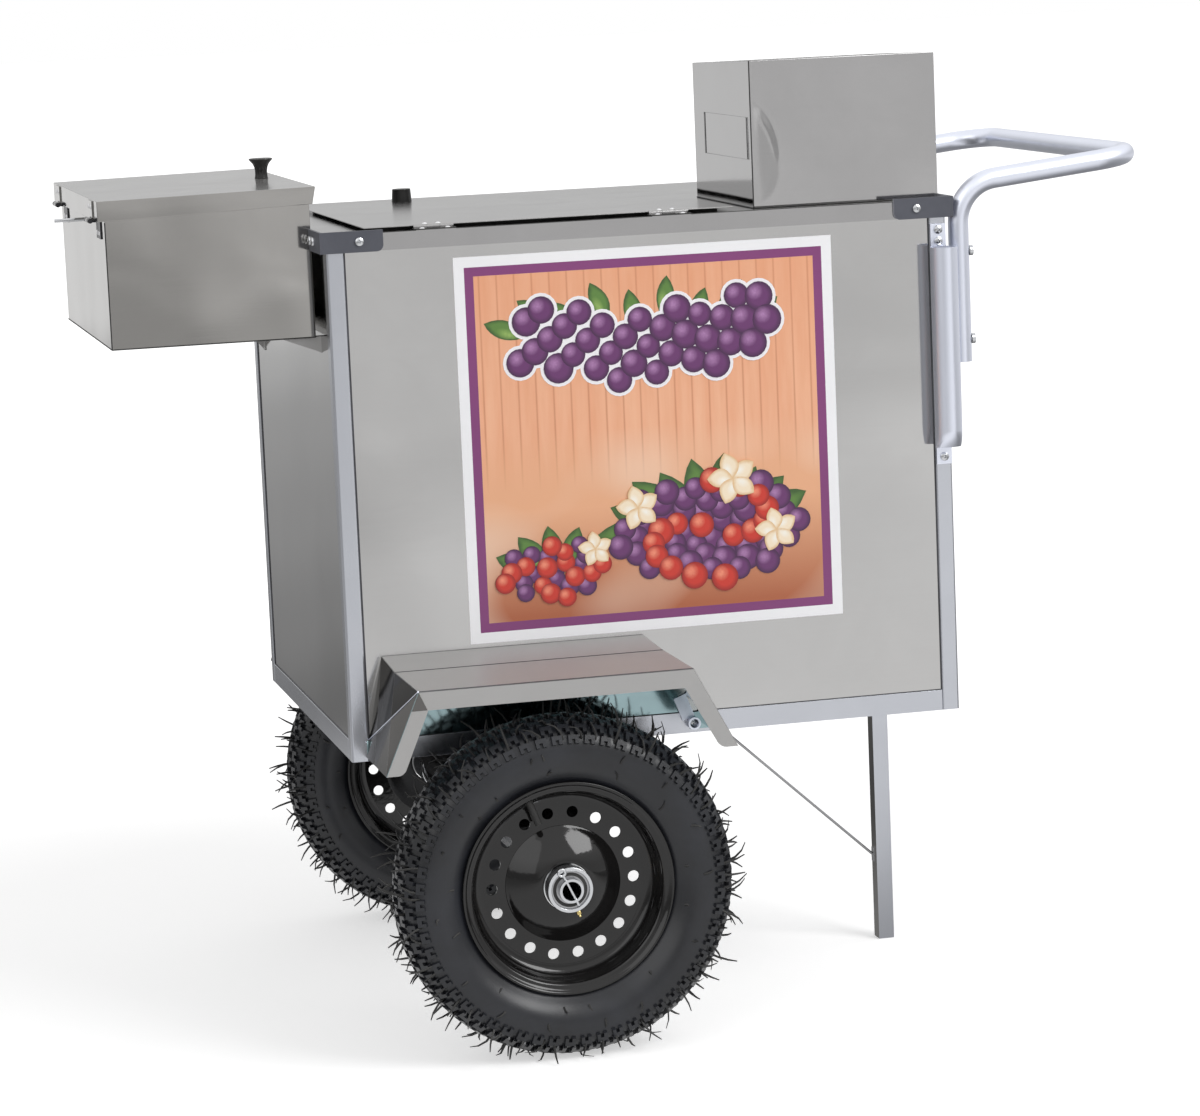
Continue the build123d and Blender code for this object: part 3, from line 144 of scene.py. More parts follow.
def spread(tree, value, low, high, to_low, to_high):
    """Map a value from one range to another, without going past the ends."""
    return add(tree, "MapRange", Value=value, From_Min=low, From_Max=high, To_Min=to_low, To_Max=to_high)


def own_place(tree):
    """The piece's own coordinates."""
    return add(tree, "TexCoord", 3)


def axes(tree, place):
    """The three parts of a place: along X, along Y and up."""
    return add(tree, "SeparateXYZ", Vector=place).node.outputs


def gap_from(tree, place, spot=(0, 0, 0)):
    """How far a place lies from one spot."""
    node = tree.nodes.new("ShaderNodeVectorMath")
    node.operation = "DISTANCE"
    fill(tree, node.inputs[0], place)
    fill(tree, node.inputs[1], spot)
    return node.outputs["Value"]


def bumped(tree, height, distance, **before):
    """A normal bent by a height map, given in metres from low to high."""
    return add(tree, "Bump", Height=height, Distance=distance, Strength=1.0, **before)


def srgb(red, green, blue):
    """A colour as a paint chart gives it, 0 to 255, turned into the linear values that shaders use."""
    parts = [c / 255 for c in (red, green, blue)]
    return tuple(c / 12.92 if c <= 0.04045 else ((c + 0.055) / 1.055) ** 2.4 for c in parts) + (1.0,)


def new_finish(name, **plain):
    """A material with one Principled shader, its plain values set on the shader's own sockets."""
    made = bpy.data.materials.new(name)
    made.use_nodes = True
    shader = made.node_tree.nodes["Principled BSDF"]
    for socket, value in plain.items():
        shader.inputs[socket.replace("_", " ")].default_value = value
    return made


def feed(made, **links):
    """Link varying values to the shader's sockets."""
    tree = made.node_tree
    shader = tree.nodes["Principled BSDF"]
    for socket, link in links.items():
        tree.links.new(link, shader.inputs[socket.replace("_", " ")])
    return made


print("helpers ready")

# %% [markdown]
# The studio is a pale floor under a pale sky, with two big soft lamps in front. Bare metal shows its room,
# so the room is toned for mirrors: the floor in front is bright, and the floor behind is dim. To the camera
# the floor grows white with distance, and close by it keeps the shadow.

# %% Floor
FLOOR_SIZE = 40
FLOOR_DROP = 0.0004
FLOOR_PAPER = (0.86, 0.86, 0.86, 1)
FLOOR_IN_MIRROR = (0.1, 0.1, 0.1, 1)
FLOOR_WHITENS = (0.9, 2.6)
FLOOR_GLOW = (0.5, 0.85)
FLOOR_REACH = 14
FLOOR_SLANT = 1.2
FLOOR_SHIFT = 0.85
FLOOR_TONES = {
    -12: 0.7, -7.0: 0.7, -5.0: 0.68, -3.6: 0.8, -1.2: 0.86, -0.6: 0.4,
    -0.2: 0.1, 0.6: 0.19, 1.6: 0.26, 3.0: 0.32, 4.2: 0.44, 5.8: 0.74,
}
CLUTTER_SCALE = 1.3
CLUTTER = (0.34, 0.66, -0.26, 0.24)
IN_FRONT = (-7.0, -1.5)
NEAREST = -0.5
SHADE_EDGE = (0.075, 0.1, -0.3, 0.14)
DARK_LEFT = (-1.2, -0.5, 0.55, 1.0)
DARK_SLANT = 0.45


def tone_ramp(tree, along, low, high, tones):
    """Grey tones along one direction, softly blended from stop to stop."""
    node = tree.nodes.new("ShaderNodeValToRGB")
    node.color_ramp.interpolation = "EASE"
    stops = node.color_ramp.elements
    while len(stops) < len(tones):
        stops.new(0.5)
    for stop, (spot, grey) in zip(stops, sorted(tones.items())):
        stop.position = (spot - low) / (high - low)
        stop.color = (grey, grey, grey, 1)
    tree.links.new(spread(tree, along, low, high, 0.0, 1.0), node.inputs[0])
    return node.outputs[0]


def to_mesh(name, shape):
    """Turn a bmesh into a mesh, and let the bmesh go."""
    mesh = bpy.data.meshes.new(name)
    shape.to_mesh(mesh)
    shape.free()
    return mesh


paper = new_finish("pale_floor", Roughness=0.9, Specular_IOR_Level=0.1, Emission_Color=WHITE)
tree = paper.node_tree
sight = tree.nodes.new("ShaderNodeLightPath").outputs
spot = own_place(tree)
x, y, z = axes(tree, spot)
white = spread(tree, gap_from(tree, spot), *FLOOR_WHITENS, *FLOOR_GLOW)
slanted = calc(tree, "MULTIPLY_ADD", calc(tree, "SUBTRACT", x, FLOOR_SHIFT), FLOOR_SLANT, y)
room = tone_ramp(tree, slanted, -FLOOR_REACH, FLOOR_REACH, FLOOR_TONES)
patches = add(tree, "TexNoise", Vector=spot, Scale=CLUTTER_SCALE, Detail=1.5, Roughness=0.5, Distortion=0.6)
in_front = spread(tree, y, *IN_FRONT, 1.0, 0.0)
aside = calc(tree, "MULTIPLY", calc(tree, "DIVIDE", x, calc(tree, "MINIMUM", y, NEAREST)), -1.0)
change = calc(tree, "ADD", spread(tree, patches, *CLUTTER), spread(tree, aside, *SHADE_EDGE))
lively = calc(tree, "MULTIPLY", room, calc(tree, "MULTIPLY_ADD", change, in_front, 1.0))
behind = calc(tree, "MAXIMUM", y, 0.0)
dark_left = spread(tree, calc(tree, "MULTIPLY_ADD", behind, DARK_SLANT, x), *DARK_LEFT)
to_mirror = calc(tree, "MULTIPLY", sight["Is Glossy Ray"], calc(tree, "MULTIPLY", lively, dark_left))
feed(
    paper,
    Base_Color=blend_colours(tree, sight["Is Glossy Ray"], FLOOR_PAPER, FLOOR_IN_MIRROR),
    Emission_Strength=calc(tree, "MULTIPLY_ADD", sight["Is Camera Ray"], white, to_mirror),
)

shape = bmesh.new()
bmesh.ops.create_grid(shape, x_segments=1, y_segments=1, size=FLOOR_SIZE)
bmesh.ops.translate(shape, verts=shape.verts, vec=(0, 0, -FLOOR_DROP))
ground = to_mesh("floor", shape)
ground.materials.append(paper)
floor = in_scene("floor", ground)
print("floor tones:", len(FLOOR_TONES))

# %% [markdown]
# The sky gives the even light. In mirrors it rises from grey at the horizon to white, with a dark curtain
# low at the back left. To the camera it is plain white.

# %% Sky
SKY_FILL = 0.48
SKY_FRONT = 0.7
SKY_BEHIND = 0.62
SKY_TURN = (-0.5, 0.5)
SKY_CLIMB = (0.17, 0.4)
CURTAIN = 0.5
CURTAIN_SIDE = (-0.45, -0.3)
CURTAIN_TOP = (0.1, 0.145)

sky = bpy.data.worlds.new("studio_sky")
bpy.context.scene.world = sky
sky.use_nodes = True
tree = sky.node_tree
background = tree.nodes["Background"].inputs
background["Color"].default_value = WHITE
sight = tree.nodes.new("ShaderNodeLightPath").outputs
x, y, z = axes(tree, add(tree, "TexCoord", 0))
low_sky = spread(tree, y, *SKY_TURN, SKY_FRONT, SKY_BEHIND)
climb = spread(tree, z, *SKY_CLIMB, 0.0, 1.0)
toned = calc(tree, "MULTIPLY_ADD", climb, calc(tree, "SUBTRACT", 1.0, low_sky), low_sky)
beside = spread(tree, x, *CURTAIN_SIDE, CURTAIN, 0.0)
curtain = calc(tree, "MULTIPLY", beside, spread(tree, z, *CURTAIN_TOP, 1.0, 0.0))
toned = calc(tree, "MULTIPLY", toned, calc(tree, "SUBTRACT", 1.0, curtain))
mirrored = calc(tree, "MULTIPLY", sight["Is Glossy Ray"], calc(tree, "SUBTRACT", toned, SKY_FILL))
plain_sight = calc(tree, "MAXIMUM", sight["Is Camera Ray"], sight["Is Transmission Ray"])
seen = calc(tree, "MULTIPLY_ADD", plain_sight, 1.0 - SKY_FILL, mirrored)
tree.links.new(calc(tree, "ADD", seen, SKY_FILL), background["Strength"])
print("sky fill:", SKY_FILL)

# %% [markdown]
# Two area lamps light the cart at a plain level. The key stands at the right, and the fill is larger and
# weaker, at the left, so that the near side has soft shadows and no hard spots.

# %% Soft lamps
LAMPS = {
    "key": ((2.6, -3.0, 3.4), 2.4, 105),
    "fill": ((-3.4, -2.9, 2.6), 3.8, 30),
}
TARGET = Vector((0, 0, 0.55))
for name, (spot, size, watts) in LAMPS.items():
    lamp = bpy.data.lights.new(name, "AREA")
    lamp.size = size
    lamp.energy = watts
    holder = in_scene(name, lamp)
    holder.location = spot
    holder.rotation_euler = (TARGET - Vector(spot)).to_track_quat("-Z", "Y").to_euler()
print("lamps:", list(LAMPS))

# %% [markdown]
# Thin rolled sheet is never quite flat: it waves slowly over hand widths, carries a fine grain from the
# rollers, and shows faint wiping marks. One node group holds these three effects, and each metal uses it
# with its own values. The waves only bend the normal, so the reflections swim as they do on real sheet.

# %% Rolled sheet group
WIPING_SCALE = 9.0
LINE_TONE = 0.03
MARK_TONE = -0.35
MARK_ROUGHNESS = 0.3


def new_group(name, inputs, outputs):
    """A shader node group with named sockets, and what it is given and what it puts out."""
    group = bpy.data.node_groups.new(name, "ShaderNodeTree")
    for label, kind in inputs.items():
        group.interface.new_socket(label, in_out="INPUT", socket_type="NodeSocket" + kind)
    for label, kind in outputs.items():
        group.interface.new_socket(label, in_out="OUTPUT", socket_type="NodeSocket" + kind)
    return group, group.nodes.new("NodeGroupInput").outputs, group.nodes.new("NodeGroupOutput").inputs


sheet_group, given, result = new_group(
    "rolled_sheet",
    {"Tint": "Color", "Wave Scale": "Float", "Grain": "Vector", "Smudge": "Float", "Roughness": "Float"},
    {"Color": "Color", "Roughness": "Float", "Waves": "Float", "Grain": "Float"},
)
tree = sheet_group
own = own_place(tree)
waves = add(tree, "TexNoise", Vector=own, Scale=given["Wave Scale"], Detail=1.2, Roughness=0.35)
stretched = add(tree, "Mapping", Vector=own, Scale=given["Grain"])
grain = add(tree, "TexNoise", Vector=stretched, Scale=1.0, Detail=3.0, Roughness=0.6)
wiping = add(tree, "TexNoise", Vector=own, Scale=WIPING_SCALE, Detail=5.0, Roughness=0.62, Distortion=0.8)
marks = calc(tree, "MULTIPLY", calc(tree, "SUBTRACT", wiping, 0.5), given["Smudge"])
lines = calc(tree, "MULTIPLY", calc(tree, "SUBTRACT", grain, 0.5), LINE_TONE)
shade = calc(tree, "ADD", calc(tree, "MULTIPLY_ADD", marks, MARK_TONE, 1.0), lines)
tinted = tree.nodes.new("ShaderNodeVectorMath")
tinted.operation = "SCALE"
fill(tree, tinted.inputs[0], given["Tint"])
fill(tree, tinted.inputs["Scale"], shade)
dulled = calc(tree, "ADD", calc(tree, "MULTIPLY_ADD", marks, MARK_ROUGHNESS, given["Roughness"]), lines)
for label, value in (("Color", tinted.outputs[0]), ("Roughness", dulled), ("Waves", waves), ("Grain", grain)):
    tree.links.new(value, result[label])
print("group:", sheet_group.name)


def use_group(made, group, **values):
    """Place a node group in a material, set its inputs and return its outputs."""
    node = made.node_tree.nodes.new("ShaderNodeGroup")
    node.node_tree = group
    for label, value in values.items():
        node.inputs[label.replace("_", " ")].default_value = value
    return node.outputs


def metal(name, tint, roughness, wave_scale, wave_height, grain, smudge, grain_height=0.000006, bare=1.0):
    """A bare metal: the rolled sheet group with its waves and grain as two bumps in a row."""
    made = new_finish(name, Metallic=bare)
    tree = made.node_tree
    effect = use_group(
        made, sheet_group, Tint=tint, Wave_Scale=wave_scale, Grain=grain, Smudge=smudge, Roughness=roughness
    )
    fine = bumped(tree, effect["Grain"], grain_height)
    slow = bumped(tree, effect["Waves"], wave_height, Normal=fine)
    return feed(made, Base_Color=effect["Color"], Roughness=effect["Roughness"], Normal=slow)


# %% [markdown]
# The cart is bare metal almost everywhere, but no two sheets look alike: the panels are bright, the deck is
# dulled by wiping, the boxes are darker stock, the fenders are matt. Each gets its tint, its roughness and
# its waves here. The grain follows the length of the profile, so the posts, the long rails and the cross
# rails have their own.

# %% Metals of the cart
ALONG_X, ALONG_Y, ALONG_Z = (14, 700, 700), (700, 14, 700), (700, 700, 14)
EVEN = (300, 300, 300)
ALUMINIUM = (0.56, 0.575, 0.62, 1)
FAINT = 0.000002
stainless = metal("bright_stainless", (0.52, 0.515, 0.51, 1), 0.09, 3.2, 0.003, ALONG_X, 0.3)
box_stainless = metal("box_stainless", (0.4, 0.39, 0.375, 1), 0.07, 4.6, 0.0032, ALONG_X, 0.3, 0.000003)
cover_stainless = metal("cover_stainless", (0.41, 0.405, 0.4, 1), 0.16, 4.6, 0.0015, ALONG_X, 0.3, bare=0.5)
cup_stainless = metal("cup_stainless", (0.44, 0.435, 0.435, 1), 0.08, 4.0, 0.002, ALONG_X, 0.3)
deck_stainless = metal("deck_stainless", (0.42, 0.415, 0.415, 1), 0.2, 5.0, 0.0012, ALONG_X, 0.4)
fender_stainless = metal("fender_stainless", (0.42, 0.415, 0.41, 1), 0.42, 6, 0.001, ALONG_X, 0.4, bare=0.25)
tank_stainless = metal("tank_stainless", (0.72, 0.72, 0.73, 1), 0.4, 5.0, 0.001, ALONG_X, 0.4, bare=0.15)
inside_stainless = metal("inside_stainless", (0.5, 0.5, 0.5, 1), 0.38, 5.0, 0.001, ALONG_X, 0.5, bare=0.4)
aluminium_up = metal("satin_aluminium_upright", ALUMINIUM, 0.24, 6.0, 0.0004, ALONG_Z, 0.35, FAINT)
aluminium_long = metal("satin_aluminium_lengthwise", ALUMINIUM, 0.24, 6.0, 0.0004, ALONG_X, 0.35, FAINT)
aluminium_cross = metal("satin_aluminium_crosswise", ALUMINIUM, 0.24, 6.0, 0.0004, ALONG_Y, 0.35, FAINT)
tube_metal = metal("satin_tube", (0.82, 0.85, 0.95, 1), 0.34, 10.0, 0.0005, ALONG_Z, 0.35)
# The rivet finish is nearly white and mostly diffuse: a painted highlight on the rivet heads.
rivet_painted_highlight = metal("rivet_painted_highlight", (0.95, 0.95, 0.97, 1), 0.3, 40.0, 0.0001, EVEN, 0.3, bare=0.3)
zinc = metal("zinc_plate", (0.62, 0.63, 0.65, 1), 0.24, 40.0, 0.0001, EVEN, 0.6)
bearing_steel = metal("bearing_steel", (0.36, 0.36, 0.37, 1), 0.2, 40.0, 0.0001, EVEN, 0.6)
# Darker copies of the stainless, dim and dark: painted reflections of dark surroundings.
shaded_stainless = metal("shaded_stainless", (0.15, 0.145, 0.14, 1), 0.12, 6.0, 0.003, ALONG_Z, 0.8)
painted_dark_reflection = metal("painted_dark_reflection", (0.03, 0.029, 0.028, 1), 0.1, 6.0, 0.003, ALONG_Z, 0.8)
filmed = metal("filmed_stainless", (0.3, 0.41, 0.43, 1), 0.1, 5.0, 0.003, ALONG_X, 0.8)
dark_zinc = metal("dark_hinge_steel", (0.06, 0.06, 0.065, 1), 0.32, 40.0, 0.0001, EVEN, 0.8)
brass = metal("brass", (0.72, 0.56, 0.24, 1), 0.22, 40.0, 0.0001, EVEN, 0.5)
print("metals:", [m.name for m in bpy.data.materials])

# %% [markdown]
# Painted steel, moulded rubber and plastic share a second group: a slow change of shade, and a fine pebbled
# skin whose size sets what it looks like. Gloss paint has a soft orange peel, rubber a fine tooth, foam
# open cells.

# %% Pebbled skin group
CLOUD_SCALE = 14.0
DUST = (0.3, 0.29, 0.27, 1)
DUST_SETTLES = (0.35, 0.75)
DUST_ROUGHNESS = 0.35

skin_group, given, result = new_group(
    "pebbled_skin",
    {"Tint": "Color", "Dust": "Color", "Dust Share": "Float", "Pebble Scale": "Float", "Roughness": "Float"},
    {"Color": "Color", "Roughness": "Float", "Height": "Float"},
)
tree = skin_group
own = own_place(tree)
pebbles = add(tree, "TexNoise", Vector=own, Scale=given["Pebble Scale"], Detail=2.0, Roughness=0.5)
clouds = add(tree, "TexNoise", Vector=own, Scale=CLOUD_SCALE, Detail=5.0, Roughness=0.6, Distortion=0.4)
settled = calc(tree, "MULTIPLY", spread(tree, clouds, *DUST_SETTLES, 0.0, 1.0), given["Dust Share"])
tree.links.new(blend_colours(tree, settled, given["Tint"], given["Dust"]), result["Color"])
tree.links.new(calc(tree, "MULTIPLY_ADD", settled, DUST_ROUGHNESS, given["Roughness"]), result["Roughness"])
tree.links.new(pebbles, result["Height"])
print("group:", skin_group.name)


def coated(name, tint, roughness, pebble_scale, pebble_height, dust=DUST, dust_share=0.15, **plain):
    """A painted, rubber or plastic surface from the pebbled skin group."""
    made = new_finish(name, **plain)
    effect = use_group(
        made, skin_group, Tint=tint, Dust=dust, Dust_Share=dust_share, Pebble_Scale=pebble_scale,
        Roughness=roughness,
    )
    skin = bumped(made.node_tree, effect["Height"], pebble_height)
    return feed(made, Base_Color=effect["Color"], Roughness=effect["Roughness"], Normal=skin)


# %% [markdown]
# What isn't bare metal is dark: slate paint on the corner brackets, gloss black on the rims, rubber and
# plastic. Inside the cart are pale foam and pine battens. Each is one colour, one pebble size and a little
# dust.

# %% Paints, rubbers and plastics
slate_paint = coated("slate_bracket_paint", srgb(76, 78, 87), 0.42, 900, 0.00006, srgb(120, 122, 130), 0.25)
# A lighter slate for the brackets' inside faces: painted light on faces that lie in shade.
painted_light_slate = coated("painted_light_slate", srgb(168, 170, 178), 0.6, 900, 0.00006, srgb(120, 122, 130), 0.25)
gloss_black = coated("gloss_black_paint", srgb(20, 19, 19), 0.07, 200, 0.00005, srgb(52, 50, 48), 0.05)
tyre_rubber = coated("tyre_rubber", srgb(27, 28, 32), 0.28, 1600, 0.00006, srgb(60, 63, 72), 0.3)
soft_rubber = coated("soft_rubber", srgb(20, 20, 21), 0.6, 1400, 0.0001)
knob_plastic = coated("black_knob_plastic", srgb(14, 14, 15), 0.15, 700, 0.00004, Specular_IOR_Level=0.25)
seal_foam = coated("black_seal_foam", srgb(14, 14, 15), 0.85, 1100, 0.0003)
cream_foam = coated("cream_foam", srgb(226, 214, 178), 0.9, 500, 0.0006, srgb(200, 180, 130), 0.5)
pine = coated("pine_batten", srgb(196, 160, 112), 0.65, 160, 0.0003, srgb(150, 108, 66), 0.6)
sealant = coated("dark_sealant", srgb(38, 38, 42), 0.5, 300, 0.0003, srgb(130, 132, 140), 0.35)
print("finishes:", len(bpy.data.materials))

# %% [markdown]
# Each solid piece now takes its finish. A folded sheet or a tube with knife-sharp edges looks false,
# because real folds catch a thin line of light. Solid pieces mustn't change, so those pieces are copied,
# their loose triangles merged back into flat faces, and the folds bevelled; the copy then stands for the
# solid.

# %% Dressing helpers
MERGE = 0.00002
TINY = 0.000001
FLAT_ANGLE = math.radians(1)
FOLD_ANGLE = math.radians(15)
LOOKS_ALONG = 0.9
BEAD_SIDES = 6


def coat(made, *names):
    """Give solid pieces a finish."""
    for name in names:
        frame["nodes"][name].material_slots[0].material = made


def finish_piece(name, shape, made, body="cart", sharp=35):
    """Turn a bmesh into an object that rides on a body, smooth except at sharp edges."""
    mesh = to_mesh(name, shape)
    mesh.shade_smooth()
    mesh.set_sharp_from_angle(angle=math.radians(sharp))
    for one in made if isinstance(made, (list, tuple)) else [made]:
        mesh.materials.append(one)
    piece = in_scene(name, mesh)
    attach(piece, body)
    return piece


def outward(shape):
    """Turn the faces of closed shells outwards."""
    bmesh.ops.recalc_face_normals(shape, faces=shape.faces)
    return shape


def points_of(geom):
    """The vertices in what an operator gave back."""
    return [one for one in geom if isinstance(one, bmesh.types.BMVert)]


def looking(way):
    """The turn that brings a shape's own Z axis to look along a way."""
    return Vector(way).to_track_quat("Z", "Y").to_matrix().to_4x4()


def body_of(node):
    """The body that a solid piece rides on."""
    return frame["nodes"][node]["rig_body"]


def merged_copy(node, gap=MERGE):
    """A solid piece's shape with its loose triangles merged back into flat faces."""
    shape = bmesh.new()
    shape.from_mesh(frame["nodes"][node].data)
    bmesh.ops.remove_doubles(shape, verts=shape.verts, dist=gap)
    bmesh.ops.dissolve_limit(shape, angle_limit=FLAT_ANGLE, verts=shape.verts, edges=shape.edges)
    return shape


def bevelled(shape, edges, radius, segments):
    """Round edges off by a radius."""
    bmesh.ops.bevel(
        shape, geom=edges, offset=radius, offset_type="OFFSET", affect="EDGES", segments=segments,
        profile=0.5, material=-1, clamp_overlap=True,
    )


def softened(node, made, radius, reshape=None, sharp=40, gap=MERGE):
    """Copy a solid piece, reshape it if asked, bevel its folds and let the copy stand for it."""
    shape = merged_copy(node, gap)
    if reshape:
        reshape(shape)
    if radius:
        folds = [e for e in shape.edges if len(e.link_faces) == 2 and e.calc_face_angle() > FOLD_ANGLE]
        bevelled(shape, folds, radius, 2)
    bmesh.ops.dissolve_degenerate(shape, dist=TINY, edges=shape.edges)
    # In a fixed order of faces, the same edges come out sharp each run.
    shape.faces.sort(key=lambda face: face.calc_area())
    piece = finish_piece(node + "_dressed", shape, made, body_of(node), sharp)
    even = piece.modifiers.new("flat_faces_stay_flat", "WEIGHTED_NORMAL")
    even.keep_sharp = True
    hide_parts(node)
    return piece


def middle_of(node):
    """The middle of a solid piece's box."""
    return sum(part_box(node), Vector()) / 2


def turned_inside(piece, middle):
    """Give the second finish to every face that looks at a middle point."""
    for face in piece.data.polygons:
        if face.normal.dot(middle - face.center) > 0:
            face.material_index = 1
    return piece


def turned_to(piece, way):
    """Give the second finish to every face that looks one way."""
    for face in piece.data.polygons:
        if face.normal.dot(Vector(way)) > LOOKS_ALONG:
            face.material_index = 1
    return piece


def bead(shape, start, end, radius):
    """A six-sided string from one corner to the next."""
    made = bmesh.ops.create_circle(shape, segments=BEAD_SIDES, radius=radius, cap_ends=True)["verts"]
    turn = looking((end - start).normalized())
    bmesh.ops.transform(shape, matrix=Matrix.Translation(start) @ turn, verts=made)
    face = list({f for v in made for f in v.link_faces})
    grown = bmesh.ops.extrude_face_region(shape, geom=face)["geom"]
    bmesh.ops.translate(shape, verts=points_of(grown), vec=end - start)


def strings(name, runs, radius, made):
    """Thin strings of one finish, each run a list of corners."""
    shape = bmesh.new()
    for run in runs:
        for start, end in zip(run, run[1:]):
            bead(shape, Vector(start), Vector(end), radius)
    return finish_piece(name, outward(shape), made, sharp=80)


def thickened(shape, way):
    """Give an open sheet a thickness: its faces are copied along a way and the rims closed."""
    grown = bmesh.ops.extrude_face_region(shape, geom=shape.faces[:])["geom"]
    bmesh.ops.translate(shape, verts=points_of(grown), vec=way)
    return outward(shape)


print("dressing helpers ready")

# %% [markdown]
# Most pieces only need a finish on the solid as it is. Folded sheet, posts and rails get a softened copy.
# The box walls have a duller inside, so faces that look at a box's middle take a second finish, and the
# leg's left face takes a darker finish: a painted reflection of the dark under the cart.

# %% Finishes on the solid pieces
coat(stainless, "panel_near", "panel_far", "panel_left", "panel_right", "floor_panel")
coat(tank_stainless, "inner_tank")
coat(deck_stainless, "main_lid_pan", "main_hinge_deck_leaves", "main_hinge_lid_leaves")
coat(fender_stainless, "topping_gussets")
coat(cream_foam, "insulation", "main_lid_foam")
coat(pine, "top_batten")
coat(seal_foam, "lid_seal")
coat(tube_metal, "handle")
coat(zinc, "handle_bolts", "axle", "axle_collars", "main_hinge_pins", "topping_lid_stop")
coat(bearing_steel, "near_bearings", "far_bearings", "stay_rod")
coat(box_stainless, "topping_hinge_lid_leaves")
coat(dark_zinc, "topping_hinge_box_leaves", "topping_hinge_pins")
coat(gloss_black, "axle_hanger_near", "axle_hanger_far")
coat(soft_rubber, "near_inner_tube", "far_inner_tube")
coat(knob_plastic, "main_lid_knob")

SHEET_FOLD = 0.0005
BRACKET_FOLD = 0.0008
POST_FOLD = 0.0006
LEFT, UP = (-1, 0, 0), (0, 0, 1)
boxed = softened("topping_box", [box_stainless, inside_stainless], SHEET_FOLD)
turned_inside(boxed, middle_of("topping_box"))
for node in ("top_deck", "main_lid_top"):
    softened(node, deck_stainless, SHEET_FOLD)
# Bracket faces that look at the middle take the lighter slate, painted light in their shade.
brackets = softened("corner_brackets", [slate_paint, painted_light_slate], BRACKET_FOLD)
turned_inside(brackets, middle_of("corner_brackets"))
# The leg's left face takes the shaded stainless, a painted dark reflection.
turned_to(softened("support_leg", [aluminium_up, shaded_stainless], POST_FOLD), LEFT)
for node in ("post_near_left", "post_near_right", "post_far_left", "post_far_right"):
    softened(node, aluminium_up, POST_FOLD)
for node in ("rail_near", "rail_far"):
    softened(node, aluminium_long, POST_FOLD)
for node in ("rail_left", "rail_right", "floor_crossbar"):
    softened(node, aluminium_cross, POST_FOLD)

# %% [markdown]
# The lid of the topping box ends in a lip that leans out at the top. On the copy, the lower corners of that
# end move in by a few millimetres. The left end keeps its square fold.

# %% Topping lid with its leaning lip
LIP_LEAN = 0.005
LIP_SHEET = 0.003


def lean_the_lip(shape):
    """Pull the lower edge of the lid's right end inwards."""
    low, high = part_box("topping_lid")
    for vert in shape.verts:
        if vert.co.x > high.x - LIP_SHEET:
            vert.co.x -= LIP_LEAN * (high.z - vert.co.z) / (high.z - low.z)


turned_to(softened("topping_lid", [box_stainless, cover_stainless], SHEET_FOLD, lean_the_lip), UP)
print("lip leans by", LIP_LEAN)

# %% [markdown]
# Somebody leaned on the cup box: its front carries a shallow round dent that meets the left corner. The
# wall is cut into small squares there, and their corners are pressed in. The dent is steep along its upper
# rim, and fades out towards the corner and the deck. The window in the left wall is shut from inside by a
# plain slide plate that leaves a finger slot.

# %% Cup box with its dent and slide plate
DENT_MIDDLE = Vector((0.0817, 0.0, 0.910))
DENT_RADIUS = 0.0875
DENT_RIM = 0.011
DENT_DEPTH = 0.0021
DENT_STEP = 0.0025
DENT_FADE = 0.012
DENT_CLIMB = (0.866, 0.966)
WALL_DEPTH = 0.003
WALL_FLAT = 0.95


def share_of(value, low, high):
    """How far a value has come from low to high: 0 before it, 1 past it."""
    return min(max((value - low) / (high - low), 0), 1)


def soft_step(value, low, high):
    """0 below a range, 1 above it and a soft climb between."""
    share = share_of(value, low, high)
    return share * share * (3 - 2 * share)


def front_wall(shape, low, mark):
    """Both faces of the cup box's front wall, as far as they lie left of a mark."""
    shape.normal_update()
    flat = [f for f in shape.faces if abs(f.normal.y) > WALL_FLAT]
    middles = [f.calc_center_median() for f in flat]
    return [f for f, spot in zip(flat, middles) if spot.y < low.y + WALL_DEPTH and spot.x < mark]


def with_rims(faces):
    """Faces with their edges and corners, as the cutting operator wants them."""
    around = dict.fromkeys([e for f in faces for e in f.edges] + [v for f in faces for v in f.verts])
    return faces + list(around)


def press_the_dent(piece):
    """Cut the front wall into small squares near its left corner, and press the dent into it."""
    low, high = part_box("cup_box")
    reach = DENT_MIDDLE + Vector((DENT_RADIUS, 0, DENT_RADIUS))
    shape = bmesh.new()
    shape.from_mesh(piece.data)
    for axis, mark in ((0, high.x), (2, reach.x)):
        way = Vector((axis == 0, 0, axis == 2))
        for i in range(1, math.ceil((reach[axis] - low[axis]) / DENT_STEP) + 1):
            wall = with_rims(front_wall(shape, low, mark))
            bmesh.ops.bisect_plane(shape, geom=wall, plane_co=low + way * (i * DENT_STEP), plane_no=way)
    wall = set(front_wall(shape, low, high.x))
    for edge in shape.edges:
        if sum(f in wall for f in edge.link_faces) == 1:
            edge.smooth = False
    for vert in shape.verts:
        if vert.co.y < low.y + WALL_DEPTH:
            off = ((vert.co.x - DENT_MIDDLE.x) ** 2 + (vert.co.z - DENT_MIDDLE.z) ** 2) ** 0.5
            sunk = soft_step(off, DENT_RADIUS, DENT_RADIUS - DENT_RIM)
            sunk *= soft_step(vert.co.x, low.x, low.x + DENT_FADE) * share_of(vert.co.z, *DENT_CLIMB)
            vert.co.y += DENT_DEPTH * sunk
    shape.to_mesh(piece.data)
    shape.free()


cup_box = softened("cup_box", [cup_stainless, inside_stainless], SHEET_FOLD)
press_the_dent(turned_inside(cup_box, middle_of("cup_box")))

